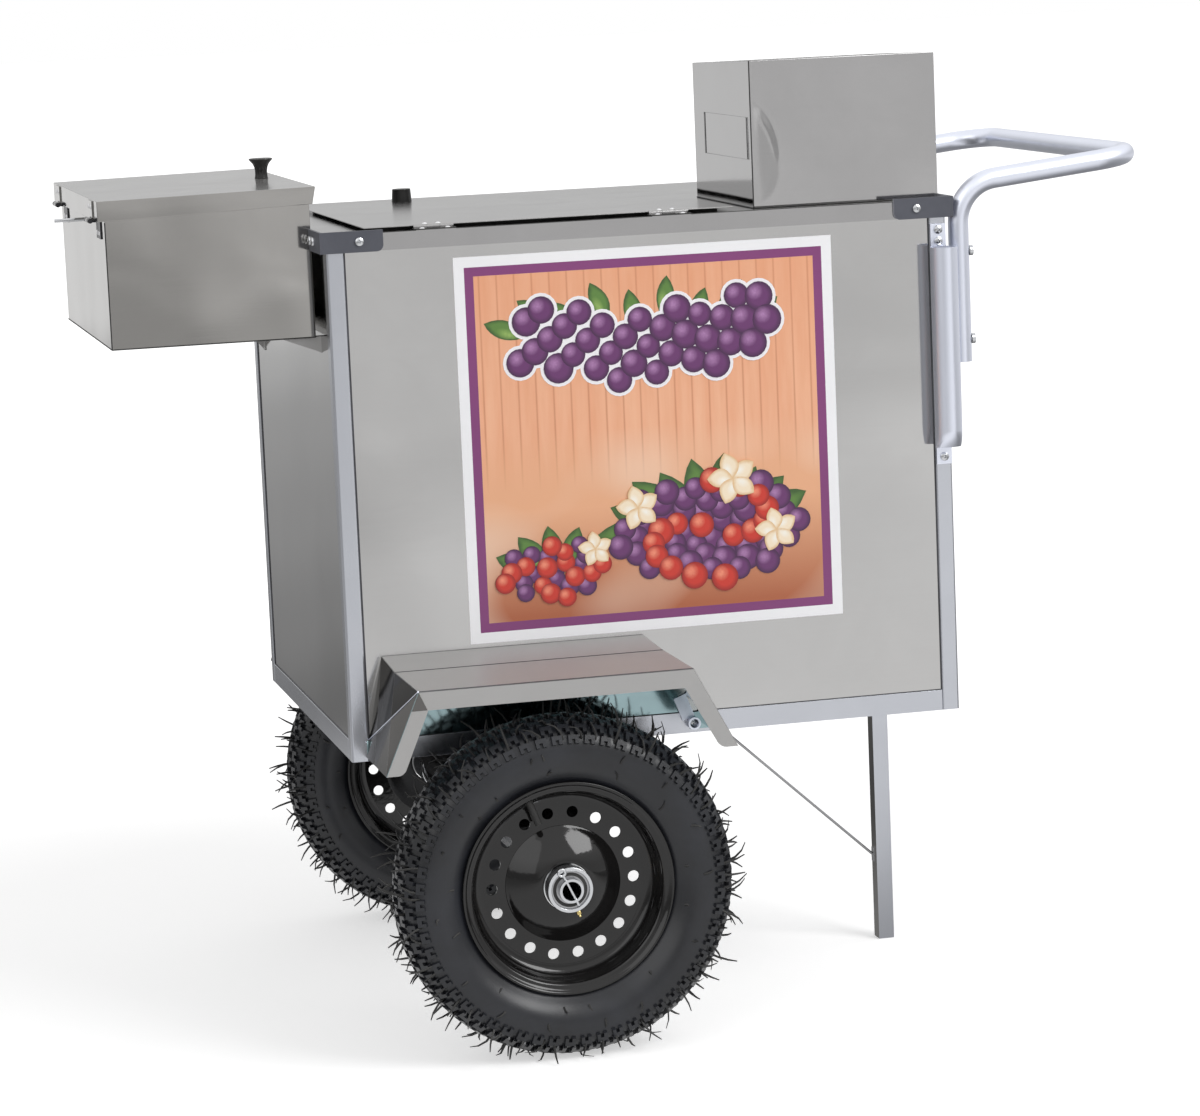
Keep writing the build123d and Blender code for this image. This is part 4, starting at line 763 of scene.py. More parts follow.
PLATE = 0.001
PLATE_LAP = 0.007
PLATE_EDGE = 0.0003
SLOT = 0.012
WINDOW_LOW = Vector((0.1362, -0.225, 0.911))
WINDOW_HIGH = Vector((0.1372, -0.049, 0.955))
shape = bmesh.new()
bmesh.ops.create_cube(shape, size=1)
plate_low = Vector((WINDOW_HIGH.x, WINDOW_LOW.y + SLOT, WINDOW_LOW.z - PLATE_LAP))
plate_high = Vector((WINDOW_HIGH.x + PLATE, WINDOW_HIGH.y + PLATE_LAP, WINDOW_HIGH.z + PLATE_LAP))
bmesh.ops.scale(shape, verts=shape.verts, vec=plate_high - plate_low)
bmesh.ops.translate(shape, verts=shape.verts, vec=(plate_low + plate_high) / 2)
bevelled(shape, shape.edges, PLATE_EDGE, 1)
slide = finish_piece("cup_box_slide_plate", shape, cup_stainless, sharp=30)
print("cup box and", slide.name)

# %% [markdown]
# The fenders were folded with their blue protective film still on the inside, where nobody peels it off. On
# the copy, every face that looks at the wheel takes the film. Thin dark strips lie along the two shallow
# folds. The left foot is split along its diagonal, from the wall up to the outer corner: above the split it
# takes a painted dark reflection of the dark under the box, below it a dimmer painted reflection, and a thin
# bright string along the split is a painted highlight. A dim plate on the flange is a painted darker facet.

# %% Fenders with film and fold lines
AXLE = Vector((-0.1233, 0.0, 0.18))
HALF_TRACK = 0.3305
SPLIT_LOW = Vector((-0.3063, 0.2565, 0.3335))
SPLIT_HIGH = Vector((-0.2728, 0.3666, 0.4002))
FENDER_FOLD_Y = 0.3015
FOOT_CORNERS = (-0.2913, 0.0427)
FOOT_BOTTOM = 0.3155
FOOT_ROUND = 0.006
FOOT_NEAR = 0.001
FOOT_ASIDE = 0.003
SHEET_LEAST = 0.0008
STEEP_LEFT = -0.8
LEANS_LEFT = -0.5
HIGHLIGHT_STRING = 0.0006
HIGHLIGHT_STRING_LIFT = Vector((-0.0005, 0, 0.0002))
DIM_FACET = ((-0.2723, 0.3999), (-0.2804, 0.3812), (-0.2640, 0.3812))
DIM_FACET_OUT = 0.3674
DIM_FACET_SHEET = 0.0006
FOLD_LEAST = 0.25
FOLD_TURN = math.radians(2)
FOLD_UPWARD = 0.5
FOLD_LINE = 0.0018
FOLD_LIFT = Vector((0, 0, 0.0004))
FOLD_SUNK = 0.0003


def diagonal(side):
    """A point on the split of a left foot, and the way up from it. To the eye the split is straight."""
    low, high, eye = (Vector((p.x, side * abs(p.y), p.z)) for p in (SPLIT_LOW, SPLIT_HIGH, EYE))
    up = (low - eye).cross(high - eye).normalized()
    return low, up if up.z > 0 else -up


def shape_the_feet(shape, side):
    """Round the inner corner of each foot, cut the left foot's face along its diagonal, and tell where the
    cut runs.
    """
    corners = []
    for edge in shape.edges:
        one, other = (v.co for v in edge.verts)
        middle = (one + other) / 2
        low_down = abs(middle.z - FOOT_BOTTOM) < FOOT_NEAR
        far_out = abs(middle.y) > SPLIT_HIGH.y - FOOT_NEAR
        through = abs(one.y - other.y) > SHEET_LEAST
        at_corner = min(abs(middle.x - x) for x in FOOT_CORNERS) < FOOT_ASIDE
        if low_down and far_out and through and at_corner:
            corners.append(edge)
    bevelled(shape, corners, FOOT_ROUND, 4)
    shape.normal_update()
    left = [f for f in shape.faces if f.normal.x < STEEP_LEFT]
    low, up = diagonal(side)
    cut = bmesh.ops.bisect_plane(shape, geom=with_rims(left), plane_co=low, plane_no=up)["geom_cut"]
    return [[v.co.copy() for v in e.verts] for e in cut if isinstance(e, bmesh.types.BMEdge)]


def is_top_fold(edge):
    """Whether an edge is one of the long shallow folds in the top of a fender."""
    if edge.calc_length() < FOLD_LEAST or len(edge.link_faces) != 2:
        return False
    return edge.calc_face_angle(0) > FOLD_TURN and sum(f.normal.z for f in edge.link_faces) > FOLD_UPWARD


def fold_lines(side, node):
    """Thin dark strips along a fender's two shallow folds."""
    shape = merged_copy(node)
    lines = bmesh.new()
    for fold in filter(is_top_fold, shape.edges):
        edge = lines.edges.new([lines.verts.new(v.co + FOLD_LIFT) for v in fold.verts])
        grown = bmesh.ops.extrude_edge_only(lines, edges=[edge])["geom"]
        bmesh.ops.translate(lines, verts=points_of(grown), vec=(0, -side * FOLD_LINE, 0))
    shape.free()
    return finish_piece(node + "_fold_lines", thickened(lines, (0, 0, -FOLD_SUNK)), sealant)


def fender(side, node):
    """A copy of a fender with film inside, a left foot in painted reflections, a bright string as a painted
    highlight along the split, a dim plate as a painted darker facet, and its fold lines.
    """
    splits = []

    def reshape(shape):
        splits.extend(shape_the_feet(shape, side))

    finishes = [fender_stainless, filmed, shaded_stainless, painted_dark_reflection]
    piece = softened(node, finishes, 0, reshape, gap=TINY)
    turned_inside(piece, Vector((AXLE.x, side * HALF_TRACK, AXLE.z)))
    low, up = diagonal(side)
    for face in piece.data.polygons:
        # Left faces of the foot take painted reflections: dark above the split, dim below it.
        if face.material_index == 0 and face.normal.x < LEANS_LEFT:
            dark = up.dot(face.center - low) > 0 and abs(face.center.y) > FENDER_FOLD_Y
            face.material_index = 3 if dark else 2
    # A bright string along the split: a painted highlight.
    strings(node + "_painted_highlight_string", [[spot + HIGHLIGHT_STRING_LIFT for spot in run] for run in splits], HIGHLIGHT_STRING, tube_metal)
    # A thin dim plate on the flange: a painted darker facet.
    dim_facet = bmesh.new()
    dim_facet.faces.new([dim_facet.verts.new((x, side * DIM_FACET_OUT, z)) for x, z in DIM_FACET])
    finish_piece(node + "_painted_dim_facet", thickened(dim_facet, (0, -side * DIM_FACET_SHEET, 0)), shaded_stainless)
    return fold_lines(side, node)


for side, node in ((-1, "fender_near"), (1, "fender_far")):
    print(fender(side, node).name)

# %% [markdown]
# The lower end of the umbrella tube was pinched in a vice so the pole can't drop through. Extra rings are
# cut into the copy near that end, and the rings below are squeezed towards the tube's own axis.

# %% Umbrella tube with its pinched end
TUBE_AXIS = Vector((0.3302, -0.2783, 0.5985))
TUBE_REACH = 0.0146
TUBE_BACK = 0.013
TUBE_FOLD = 0.0003
PINCH_RINGS = (0.604, 0.610, 0.617)
PINCH = 0.5
PINCH_SHIFT = 0.004
PINCH_MOST = 1.01


def all_of(shape):
    """Everything in a shape: its corners, edges and faces."""
    return shape.verts[:] + shape.edges[:] + shape.faces[:]


def pinch_the_end(shape):
    """Cut rings near the lower end and press them flat, most at the end."""
    for height in PINCH_RINGS:
        bmesh.ops.bisect_plane(shape, geom=all_of(shape), plane_co=(0, 0, height), plane_no=UP)
    for vert in shape.verts:
        off_axis = (vert.co.xy - TUBE_AXIS.xy).length
        near_tube = off_axis < TUBE_REACH and vert.co.y < TUBE_AXIS.y + TUBE_BACK
        share = (PINCH_RINGS[-1] - vert.co.z) / (PINCH_RINGS[-1] - TUBE_AXIS.z)
        if near_tube and 0 < share <= PINCH_MOST:
            across = vert.co.y - TUBE_AXIS.y
            vert.co.y = TUBE_AXIS.y + across * (1 - PINCH * share ** 2) + PINCH_SHIFT * share ** 2


softened("umbrella_holder", tube_metal, TUBE_FOLD, pinch_the_end)
print("tube pinched")

# %% [markdown]
# Pan head screws hold the brackets, the strap and the gussets. One head is spun, its cross recess is cut
# once with two crossed wedges, and the finished screw is copied to the place of each solid screw, facing
# outwards.

# %% Cross recess screws
HEAD_RADIUS = 0.00475
HEAD_HEIGHT = 0.003
HEAD_SKIRT = 0.35
HEAD_ANGLES = (72, 50, 25, 0)
SHANK_RADIUS = 0.0023
SHANK_DEPTH = 0.0088
RECESS_FOOT = 0.0012
RECESS_MOUTH = 0.0034
RECESS_DEPTH = 0.0028
RECESS_MIDDLE = 0.0026
RECESS_SLIM = 0.3


def islands(node):
    """The low and high corners of each separate solid inside one piece."""
    shape = merged_copy(node)
    done = set()
    for first in shape.verts:
        if first in done:
            continue
        group = {first}
        edge = [first]
        while edge:
            vert = edge.pop()
            fresh = {e.other_vert(vert) for e in vert.link_edges} - group
            group |= fresh
            edge.extend(fresh)
        done |= group
        low = Vector([min(v.co[i] for v in group) for i in range(3)])
        high = Vector([max(v.co[i] for v in group) for i in range(3)])
        yield low, high
    shape.free()


def spun(shape, section, steps, matrix=None):
    """Spin a chain of radius and height round the upright axis, and place it."""
    verts = [shape.verts.new((radius, 0, height)) for radius, height in section]
    edges = [shape.edges.new(pair) for pair in zip(verts, verts[1:])]
    before = set(shape.verts) - set(verts)
    bmesh.ops.spin(
        shape, geom=verts + edges, cent=(0, 0, 0), axis=UP, angle=2 * math.pi, steps=steps, use_merge=True
    )
    bmesh.ops.remove_doubles(shape, verts=shape.verts, dist=TINY)
    made = [v for v in shape.verts if v not in before]
    if matrix:
        bmesh.ops.transform(shape, matrix=matrix, verts=made)
    return made


def turned(shape, verts, degrees):
    """Turn part of a shape about the upright axis."""
    turn = Matrix.Rotation(math.radians(degrees), 3, "Z")
    bmesh.ops.rotate(shape, verts=verts, cent=(0, 0, 0), matrix=turn)


def cut_once(blank, cutter, overlapping=False):
    """Cut one shape out of another, and keep only the result."""
    pair = [in_scene(name, to_mesh(name, shape)) for name, shape in (("blank", blank), ("cutter", cutter))]
    cut = pair[0].modifiers.new("cut", "BOOLEAN")
    cut.object = pair[1]
    cut.operation = "DIFFERENCE"
    cut.use_self = overlapping
    ready = bpy.data.meshes.new_from_object(pair[0].evaluated_get(bpy.context.evaluated_depsgraph_get()))
    for one in pair:
        bpy.data.objects.remove(one)
    return ready


def dome_point(degrees):
    """A point of the screw head's dome, as radius and height."""
    angle = math.radians(degrees)
    return HEAD_RADIUS * math.cos(angle), HEAD_HEIGHT * (HEAD_SKIRT + (1 - HEAD_SKIRT) * math.sin(angle))


def screw_mesh():
    """A pan head screw along +Z, its head on the plane Z = 0, with a cross recess cut into it."""
    shape = bmesh.new()
    head = [(0, HEAD_HEIGHT)] + [dome_point(degrees) for degrees in HEAD_ANGLES] + [(HEAD_RADIUS, 0)]
    shank = [(SHANK_RADIUS, 0), (SHANK_RADIUS, -SHANK_DEPTH), (0, -SHANK_DEPTH)]
    spun(shape, head + shank, 20)
    cutter = bmesh.new()
    for turn in (45, 135):
        wedge = bmesh.ops.create_cone(
            cutter, cap_ends=True, segments=4, radius1=RECESS_FOOT, radius2=RECESS_MOUTH, depth=RECESS_DEPTH
        )["verts"]
        turned(cutter, wedge, 45)
        bmesh.ops.scale(cutter, verts=wedge, vec=(1, RECESS_SLIM, 1))
        turned(cutter, wedge, turn)
        bmesh.ops.translate(cutter, verts=wedge, vec=(0, 0, RECESS_MIDDLE))
    return cut_once(outward(shape), cutter, overlapping=True)


def facing(low, high):
    """Where a solid screw sits, and which way its head looks: along its length, away from the middle."""
    size = high - low
    axis = max(range(3), key=lambda i: size[i])
    middle = (low + high) / 2
    way = Vector((0, 0, 0))
    way[axis] = math.copysign(1, middle[axis])
    seat = middle.copy()
    seat[axis] = (high[axis] if way[axis] > 0 else low[axis]) - way[axis] * HEAD_HEIGHT
    return seat, way


one_screw = screw_mesh()
shape = bmesh.new()
places = [facing(low, high) for low, high in islands("pan_screws")]
chance = random.Random(3)
for seat, way in places:
    known = set(shape.verts)
    shape.from_mesh(one_screw)
    fresh = [v for v in shape.verts if v not in known]
    twist = Matrix.Rotation(chance.uniform(0, math.pi / 2), 4, "Z")
    bmesh.ops.transform(shape, matrix=Matrix.Translation(seat) @ looking(way) @ twist, verts=fresh)
screws = finish_piece("cross_recess_screws", shape, zinc, sharp=30)
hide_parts("pan_screws")
print("screws:", len(places))

# %% [markdown]
# Rivets hold both leaves of every hinge. A rivet head is a low dome, spun once for each place. The rivets
# of the lid sit closer together than those of the deck, so that they pass each other when the lid folds
# back.

# %% Hinge rivets
RIVET = ((0, 0.0017), (0.0015, 0.0015), (0.0026, 0.0008), (0.0030, -0.0002), (0, -0.0002))
RIVET_EDGE = 0.0055
DECK_RIVET = 0.0135
LID_RIVET = 0.0070
LEAF = 0.0012
BOX_RIVET_EDGE = 0.006
BOX_RIVET = 0.009
BOX_LEAF = 0.0008


def rivets(name, spots, way, body):
    """Low domes at the given spots, all looking the same way."""
    shape = bmesh.new()
    for spot in spots:
        spun(shape, RIVET, 12, Matrix.Translation(spot) @ looking(way))
    # Their finish is nearly white: a painted highlight.
    return finish_piece(name, outward(shape), rivet_painted_highlight, body, sharp=60)


lid_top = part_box("main_lid_top")[1].z
deck_spots, lid_spots, box_spots, cover_spots = [], [], [], []
for low, high in islands("main_hinge_deck_leaves"):
    middle = (low.x + high.x) / 2
    deck_spots += [Vector((middle + x, low.y + RIVET_EDGE, low.z + LEAF)) for x in (-DECK_RIVET, DECK_RIVET)]
for low, high in islands("main_hinge_lid_leaves"):
    middle = (low.x + high.x) / 2
    lid_spots += [Vector((middle + x, high.y - RIVET_EDGE, lid_top)) for x in (-LID_RIVET, LID_RIVET)]
for low, high in islands("topping_hinge_box_leaves"):
    middle = (low.y + high.y) / 2
    rise = low.z + BOX_RIVET_EDGE
    box_spots += [Vector((high.x - BOX_LEAF, middle + y, rise)) for y in (-BOX_RIVET, BOX_RIVET)]
for low, high in islands("topping_hinge_lid_leaves"):
    middle = (low.y + high.y) / 2
    rise = high.z - BOX_RIVET_EDGE
    cover_spots += [Vector((high.x - BOX_LEAF, middle + y, rise)) for y in (-BOX_RIVET, BOX_RIVET)]
rivets("deck_leaf_rivets", deck_spots, UP, "cart")
rivets("lid_leaf_rivets", lid_spots, UP, "main_lid")
rivets("box_leaf_rivets", box_spots, LEFT, "cart")
rivets("cover_leaf_rivets", cover_spots, LEFT, "topping_cover")
print("rivets:", len(deck_spots + lid_spots + box_spots + cover_spots))

# %% [markdown]
# The knob of the topping lid is moulded like a small trumpet with a fluted stem. Its section is spun, and
# every other strip of the stem is pressed in.

# %% Fluted knob
KNOB = (
    (0, 0.0206), (0.0070, 0.0209), (0.0116, 0.0218), (0.0126, 0.0214), (0.0128, 0.0204),
    (0.0112, 0.0186), (0.0088, 0.0160), (0.0073, 0.0125), (0.0066, 0.0085), (0.0066, 0.0040),
    (0.0072, 0.0008), (0.0072, 0.0), (0, 0.0),
)
FLUTES = 12
FLUTE_START = 1.01
FLUTE_SPAN = (0.001, 0.013)
FLUTE_PRESS = 0.84
low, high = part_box("topping_lid_knob")
foot = Vector(((low.x + high.x) / 2, (low.y + high.y) / 2, low.z))
shape = bmesh.new()
spun(shape, KNOB, FLUTES * 4)
for vert in shape.verts:
    strip = int((math.atan2(vert.co.y, vert.co.x) / (2 * math.pi) + FLUTE_START) * FLUTES * 2) % 2
    if strip and FLUTE_SPAN[0] < vert.co.z < FLUTE_SPAN[1]:
        vert.co.xy *= FLUTE_PRESS
bmesh.ops.translate(shape, verts=shape.verts, vec=foot)
knob = finish_piece("fluted_knob", outward(shape), knob_plastic, "topping_cover", sharp=40)
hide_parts("topping_lid_knob")
print("knob foot at", [round(x, 3) for x in foot])

# %% [markdown]
# A bead of dark sealant runs where each panel meets its posts and rail. It is a thin six-sided string,
# drawn out along the joint; its finish breaks it up, since a squeezed bead is wiped thin in places.

# %% Sealant beads
BEAD = 0.0011


def panel_corners(node):
    """The corners of a panel's outer face, from its top down one side, along its foot and up again."""
    low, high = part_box(node)
    flat = 1 if high.y - low.y < high.x - low.x else 0
    along = 1 - flat
    outer = low[flat] if abs(low[flat]) > abs(high[flat]) else high[flat]
    start, end = low[along], high[along]
    for reach, height in ((start, high.z), (start, low.z), (end, low.z), (end, high.z)):
        spot = Vector((0, 0, height))
        spot[flat] = outer
        spot[along] = reach
        yield spot


panels = ("panel_near", "panel_far", "panel_left", "panel_right")
strings("sealant_beads", [list(panel_corners(node)) for node in panels], BEAD, sealant)
print("beads on", len(panels), "panels")

# %% [markdown]
# The corner seams and feet of the boxes, the fold of the deck and the edges of the hinge leaves carry thin
# dark strings of the same kind: painted shade in the narrow gaps there.

# %% Open seams
SHADE_LINE = 0.0007
UNDER_LID = 0.001
DECK_INSET = 0.055


def painted_shade_lines(name, *runs):
    """Thin dark strings of painted shade in narrow gaps, each run a list of corners."""
    return strings(name, runs, SHADE_LINE, soft_rubber)


# Each run below is a string of painted shade in a narrow gap.
low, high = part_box("topping_box")
rim_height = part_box("topping_lid")[0].z - UNDER_LID
painted_shade_lines(
    "topping_box_shade_lines",
    [(low.x, low.y, rim_height), (low.x, low.y, low.z), (high.x, low.y, low.z)],
    [(low.x, low.y, low.z), (low.x, high.y, low.z)],
)
low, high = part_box("top_deck")
fold_at = low.y + SHADE_LINE
painted_shade_lines("deck_fold_shade_line", [(low.x + DECK_INSET, fold_at, high.z), (high.x - DECK_INSET, fold_at, high.z)])
leaf_runs = []
for low, high in islands("main_hinge_deck_leaves"):
    corners = ((low.x, high.y), (low.x, low.y), (high.x, low.y), (high.x, high.y))
    leaf_runs.append([(x, y, low.z + LEAF) for x, y in corners])
painted_shade_lines("hinge_leaf_shade_lines", *leaf_runs)
low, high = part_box("cup_box")
foot_height = low.z + SHADE_LINE
painted_shade_lines(
    "cup_box_shade_lines",
    [(low.x, low.y, high.z), (low.x, low.y, foot_height), (high.x, low.y, foot_height)],
    [(low.x, low.y, foot_height), (low.x, high.y, foot_height)],
)
print("seams on the boxes, the deck and", len(leaf_runs), "hinge leaves")

# %% [markdown]
# Under the near fender the side panel keeps a strip of the same film. The fender's right foot is held by a
# strap whose end is rolled round its bolt.

# %% Film strip and rolled strap
FILM = 0.0002
FILM_OUT = 0.0003
FILM_BOTTOM = 0.3345
FILM_TOP = 0.400
FILM_SIDES = ((-0.300, 0.038), (-0.286, -0.002))
film_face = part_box("panel_near")[0].y - FILM_OUT
shape = bmesh.new()
bmesh.ops.create_grid(shape, x_segments=12, y_segments=4, size=0.5)
for vert in shape.verts:
    rise = vert.co.y + 0.5
    start, end = (lower + rise * (upper - lower) for lower, upper in zip(*FILM_SIDES))
    along = start + (vert.co.x + 0.5) * (end - start)
    vert.co = (along, film_face, FILM_BOTTOM + rise * (FILM_TOP - FILM_BOTTOM))
finish_piece("panel_film_strip", thickened(shape, (0, FILM, 0)), filmed)

STRAP_WIDTH = 0.014
STRAP_SHEET = 0.0014
STRAP_TOP = Vector((0.0285, -0.2585, 0.3515))
STRAP_SIDE = Vector((1, 0, 0.12))
ROLL_RADIUS = 0.0068
ROLL_SHEET = 0.002
ROLL_LENGTH = 0.010
BOLT = Vector((0.0417, -0.2578, 0.3226))
STRAP_FOOT = BOLT + Vector((-0.0045, -0.0020, 0.0050))
NEARWARD = (0, -1, 0)
ROLL_BORE = ROLL_RADIUS - ROLL_SHEET
section = [(ROLL_RADIUS, 0), (ROLL_RADIUS, ROLL_LENGTH), (ROLL_BORE, ROLL_LENGTH), (ROLL_BORE, 0)]
shape = bmesh.new()
spun(shape, section + section[:1], 24, Matrix.Translation(BOLT) @ looking(NEARWARD))
run = (STRAP_FOOT - STRAP_TOP).normalized()
face_side = run.cross(STRAP_SIDE).normalized()
lean = Matrix((face_side.cross(run), face_side, run)).transposed().to_4x4()
made = bmesh.ops.create_cube(shape, size=1)["verts"]
bmesh.ops.scale(shape, verts=made, vec=(STRAP_WIDTH, STRAP_SHEET, (STRAP_FOOT - STRAP_TOP).length))
bmesh.ops.transform(shape, matrix=Matrix.Translation((STRAP_TOP + STRAP_FOOT) / 2) @ lean, verts=made)
finish_piece("fender_strap_roll", outward(shape), tube_metal, sharp=40)
print("film and strap placed")

# %% [markdown]
# The printed label is a vinyl sheet: a white edge, a purple frame and a warm picture of slats over a table
# top. All of that is flat, so it is ink: masks made from the sheet's own coordinates. Slats come from a saw
# of the width, and the table is a soft change of colour by height.

# %% Label sheet
INK = {"Roughness": 0.34, "Coat_Weight": 0.25, "Coat_Roughness": 0.2}
WHITE_EDGE = 0.011
PURPLE_FRAME = 0.0205
SLAT = 0.0186
SLAT_GRAIN = (90, 1, 9)
SLAT_GROOVE = (0.42, 0.5, 0.0, 0.62)
SLAT_LIGHT = (0.66, 0.82, 0.0, 0.35)
TABLE_TOP = 0.612
TABLE_BLUR = 0.03
TABLE_FADE = (0.45, 0.56, 0.0, 1.0)
GLOW_SCALE = 7.0
GLOW = (0.45, 0.7, 0.0, 0.8)
label_low, label_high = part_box("side_label")
label_middle = (label_low + label_high) / 2
label_half = (label_high.x - label_low.x) / 2, (label_high.z - label_low.z) / 2

label_ink = new_finish("label_print", **INK)
tree = label_ink.node_tree
own = own_place(tree)
x, y, z = axes(tree, own)
off_middle = calc(tree, "ABSOLUTE", calc(tree, "SUBTRACT", x, label_middle.x))
to_side = calc(tree, "SUBTRACT", label_half[0], off_middle)
off_middle = calc(tree, "ABSOLUTE", calc(tree, "SUBTRACT", z, label_middle.z))
to_top = calc(tree, "SUBTRACT", label_half[1], off_middle)
to_edge = calc(tree, "MINIMUM", to_side, to_top)
stretched = add(tree, "Mapping", Vector=own, Scale=SLAT_GRAIN)
grain = add(tree, "TexNoise", Vector=stretched, Scale=1.0, Detail=3.0, Roughness=0.6)
glow = add(tree, "TexNoise", Vector=own, Scale=GLOW_SCALE, Detail=1.0, Roughness=0.4)
saw = calc(tree, "FRACT", calc(tree, "DIVIDE", x, SLAT))
groove = spread(tree, calc(tree, "ABSOLUTE", calc(tree, "SUBTRACT", saw, 0.5)), *SLAT_GROOVE)
slats = blend_colours(tree, grain, srgb(232, 158, 118), srgb(250, 196, 160))
slats = blend_colours(tree, groove, slats, srgb(190, 112, 76))
slats = blend_colours(tree, spread(tree, z, *SLAT_LIGHT), slats, srgb(228, 150, 108))
table = blend_colours(tree, spread(tree, z, *TABLE_FADE), srgb(176, 98, 62), srgb(236, 176, 136))
table = blend_colours(tree, spread(tree, glow, *GLOW), table, srgb(252, 226, 202))
above_table = spread(tree, z, TABLE_TOP - TABLE_BLUR, TABLE_TOP + TABLE_BLUR, 0.0, 1.0)
picture = blend_colours(tree, above_table, table, slats)
frame_ink = blend_colours(tree, glow, srgb(120, 52, 108), srgb(140, 66, 126))
inked = blend_colours(tree, calc(tree, "GREATER_THAN", to_edge, PURPLE_FRAME), frame_ink, picture)
paper_white = blend_colours(tree, glow, srgb(240, 240, 243), srgb(250, 250, 252))
sheet_ink = blend_colours(tree, calc(tree, "GREATER_THAN", to_edge, WHITE_EDGE), paper_white, inked)
feed(label_ink, Base_Color=sheet_ink)
coat(label_ink, "side_label")
print("label", [round(2 * half, 3) for half in label_half])

# %% [markdown]
# The picture itself is a plain fruit pattern, cut as flat shapes: round berries in a garland, leaves, red
# berries and pale blossoms. Every shape carries its own flat UV map, so one ink can shade all of them like
# round fruit.

# %% Inks and flat shapes
LAYER = 0.0001
FRUIT_STEP = 0.00001
FRUIT_SIDES = 20
FRUIT_EDGE = ((0.5, 0.5, 0), 0.3, 0.5)
FRUIT_SHINE = ((0.36, 0.66, 0), 0.05, 0.3)
SPECK_SCALE = 420.0
SPECKS = (0.3, 0.7, 0.7, 1.0)
LEAF_ROUND = 0.8
LEAF_BEND = 0.12


def shaded_ink(name, dark, middle, light):
    """An ink shaded from its own UV map: dark at the edge, light at the upper left."""
    made = new_finish(name, **INK)
    tree = made.node_tree
    chart = add(tree, "TexCoord", 2)
    inside, shine = (
        spread(tree, gap_from(tree, chart, spot), near, far, 1.0, 0.0)
        for spot, near, far in (FRUIT_EDGE, FRUIT_SHINE)
    )
    speck = add(tree, "TexNoise", Vector=own_place(tree), Scale=SPECK_SCALE, Detail=2.0, Roughness=0.5)
    body_ink = blend_colours(tree, inside, dark, middle)
    shine = calc(tree, "MULTIPLY", shine, spread(tree, speck, *SPECKS))
    return feed(made, Base_Color=blend_colours(tree, shine, body_ink, light))


berry_ink = shaded_ink("berry_ink", srgb(62, 24, 66), srgb(104, 48, 106), srgb(176, 128, 178))
red_ink = shaded_ink("red_berry_ink", srgb(150, 28, 22), srgb(206, 52, 36), srgb(246, 150, 120))
leaf_ink = shaded_ink("leaf_ink", srgb(58, 92, 40), srgb(92, 132, 58), srgb(150, 182, 96))
petal_ink = shaded_ink("petal_ink", srgb(232, 196, 150), srgb(250, 232, 204), srgb(255, 250, 240))
outline_ink = shaded_ink("outline_ink", srgb(246, 244, 248), srgb(252, 250, 252), srgb(255, 255, 255))


def flat_shape():
    """An empty drawing with a UV map."""
    drawing = bmesh.new()
    drawing.loops.layers.uv.new("shading")
    return drawing


def on_top(drawing, across, up):
    """A place for the next shape, just above all the shapes drawn so far."""
    return Matrix.Translation((across, up, len(drawing.verts) * FRUIT_STEP / FRUIT_SIDES))


def dot(drawing, across, up, radius):
    """One round fruit."""
    spot = on_top(drawing, across, up)
    bmesh.ops.create_circle(
        drawing, cap_ends=True, segments=FRUIT_SIDES, radius=radius, matrix=spot, calc_uvs=True
    )


def leaf(drawing, across, up, length, width, turn):
    """One pointed leaf, a strip of squares pulled to a leaf's outline."""
    spot = on_top(drawing, across, up) @ Matrix.Rotation(math.radians(turn), 4, "Z")
    made = bmesh.ops.create_grid(drawing, x_segments=8, y_segments=2, size=0.5, calc_uvs=True)["verts"]
    for vert in made:
        share = vert.co.x + 0.5
        bend = LEAF_BEND * length * share * share
        vert.co.y = vert.co.y * width * math.sin(math.pi * share) ** LEAF_ROUND + bend
        vert.co.x = share * length
    bmesh.ops.transform(drawing, matrix=spot, verts=made)


def printed(name, drawing, made, layer):
    """Stand a flat drawing up in front of the label sheet and ink it."""
    upright = Matrix.Rotation(math.radians(90), 4, "X")
    front = Matrix.Translation((0, label_low.y - layer * LAYER, 0)) @ upright
    bmesh.ops.transform(drawing, matrix=front, verts=drawing.verts)
    bmesh.ops.dissolve_degenerate(drawing, dist=TINY, edges=drawing.edges)
    piece = finish_piece(name, thickened(drawing, (0, layer * LAYER, 0)), made)
    print(name, "faces:", len(piece.data.polygons))


print("inks ready")

# %% [markdown]
# The garland hangs in a shallow curve, with leaves behind it. Below it lie two heaps, laid out by the
# golden angle as seeds lie in a flower, with blossoms on top. The layers stand a fraction of a millimetre
# apart, in the order in which a printer would lay them down.

# %% Label fruit
GARLAND = 34
GARLAND_START = 0.062
GARLAND_LENGTH = 0.275
GARLAND_SAG = 0.030
GARLAND_FOOT = 0.688
GARLAND_DEPTH = 0.074
GOLDEN_SHARE = 0.618034
GOLDEN_ANGLE = math.radians(137.508)
BERRY = 0.0125
BERRY_MORE = 0.0035
OUTLINE = 0.0035
LEAF_FANS = (
    (9, label_low.x + 0.070, 0.030, 0.742, 0.012, 2, 0.044, 0.020, 150, 15),
    (9, 0.024, 0.010, 0.522, 0.004, 3, 0.078, 0.034, 168, 19),
    (5, -0.118, 0.009, 0.496, 0.0, 1, 0.048, 0.023, 150, 30),
)
HEAPS = ((0.070, 0.528, 60, 0.0114, 0.0118, 4), (-0.100, 0.496, 26, 0.0098, 0.0090, 2))
HEAP_WIDE, HEAP_HIGH = 1.15, 0.62
HEAP_MORE = 0.25
BLOSSOMS = ((-0.008, 0.556, 0.024), (0.096, 0.580, 0.028), (0.142, 0.522, 0.024), (-0.056, 0.516, 0.019))
PETALS = 5
PETAL_WIDTH = 0.72
PETAL_TURN = 1000
seeds = random.Random(19)

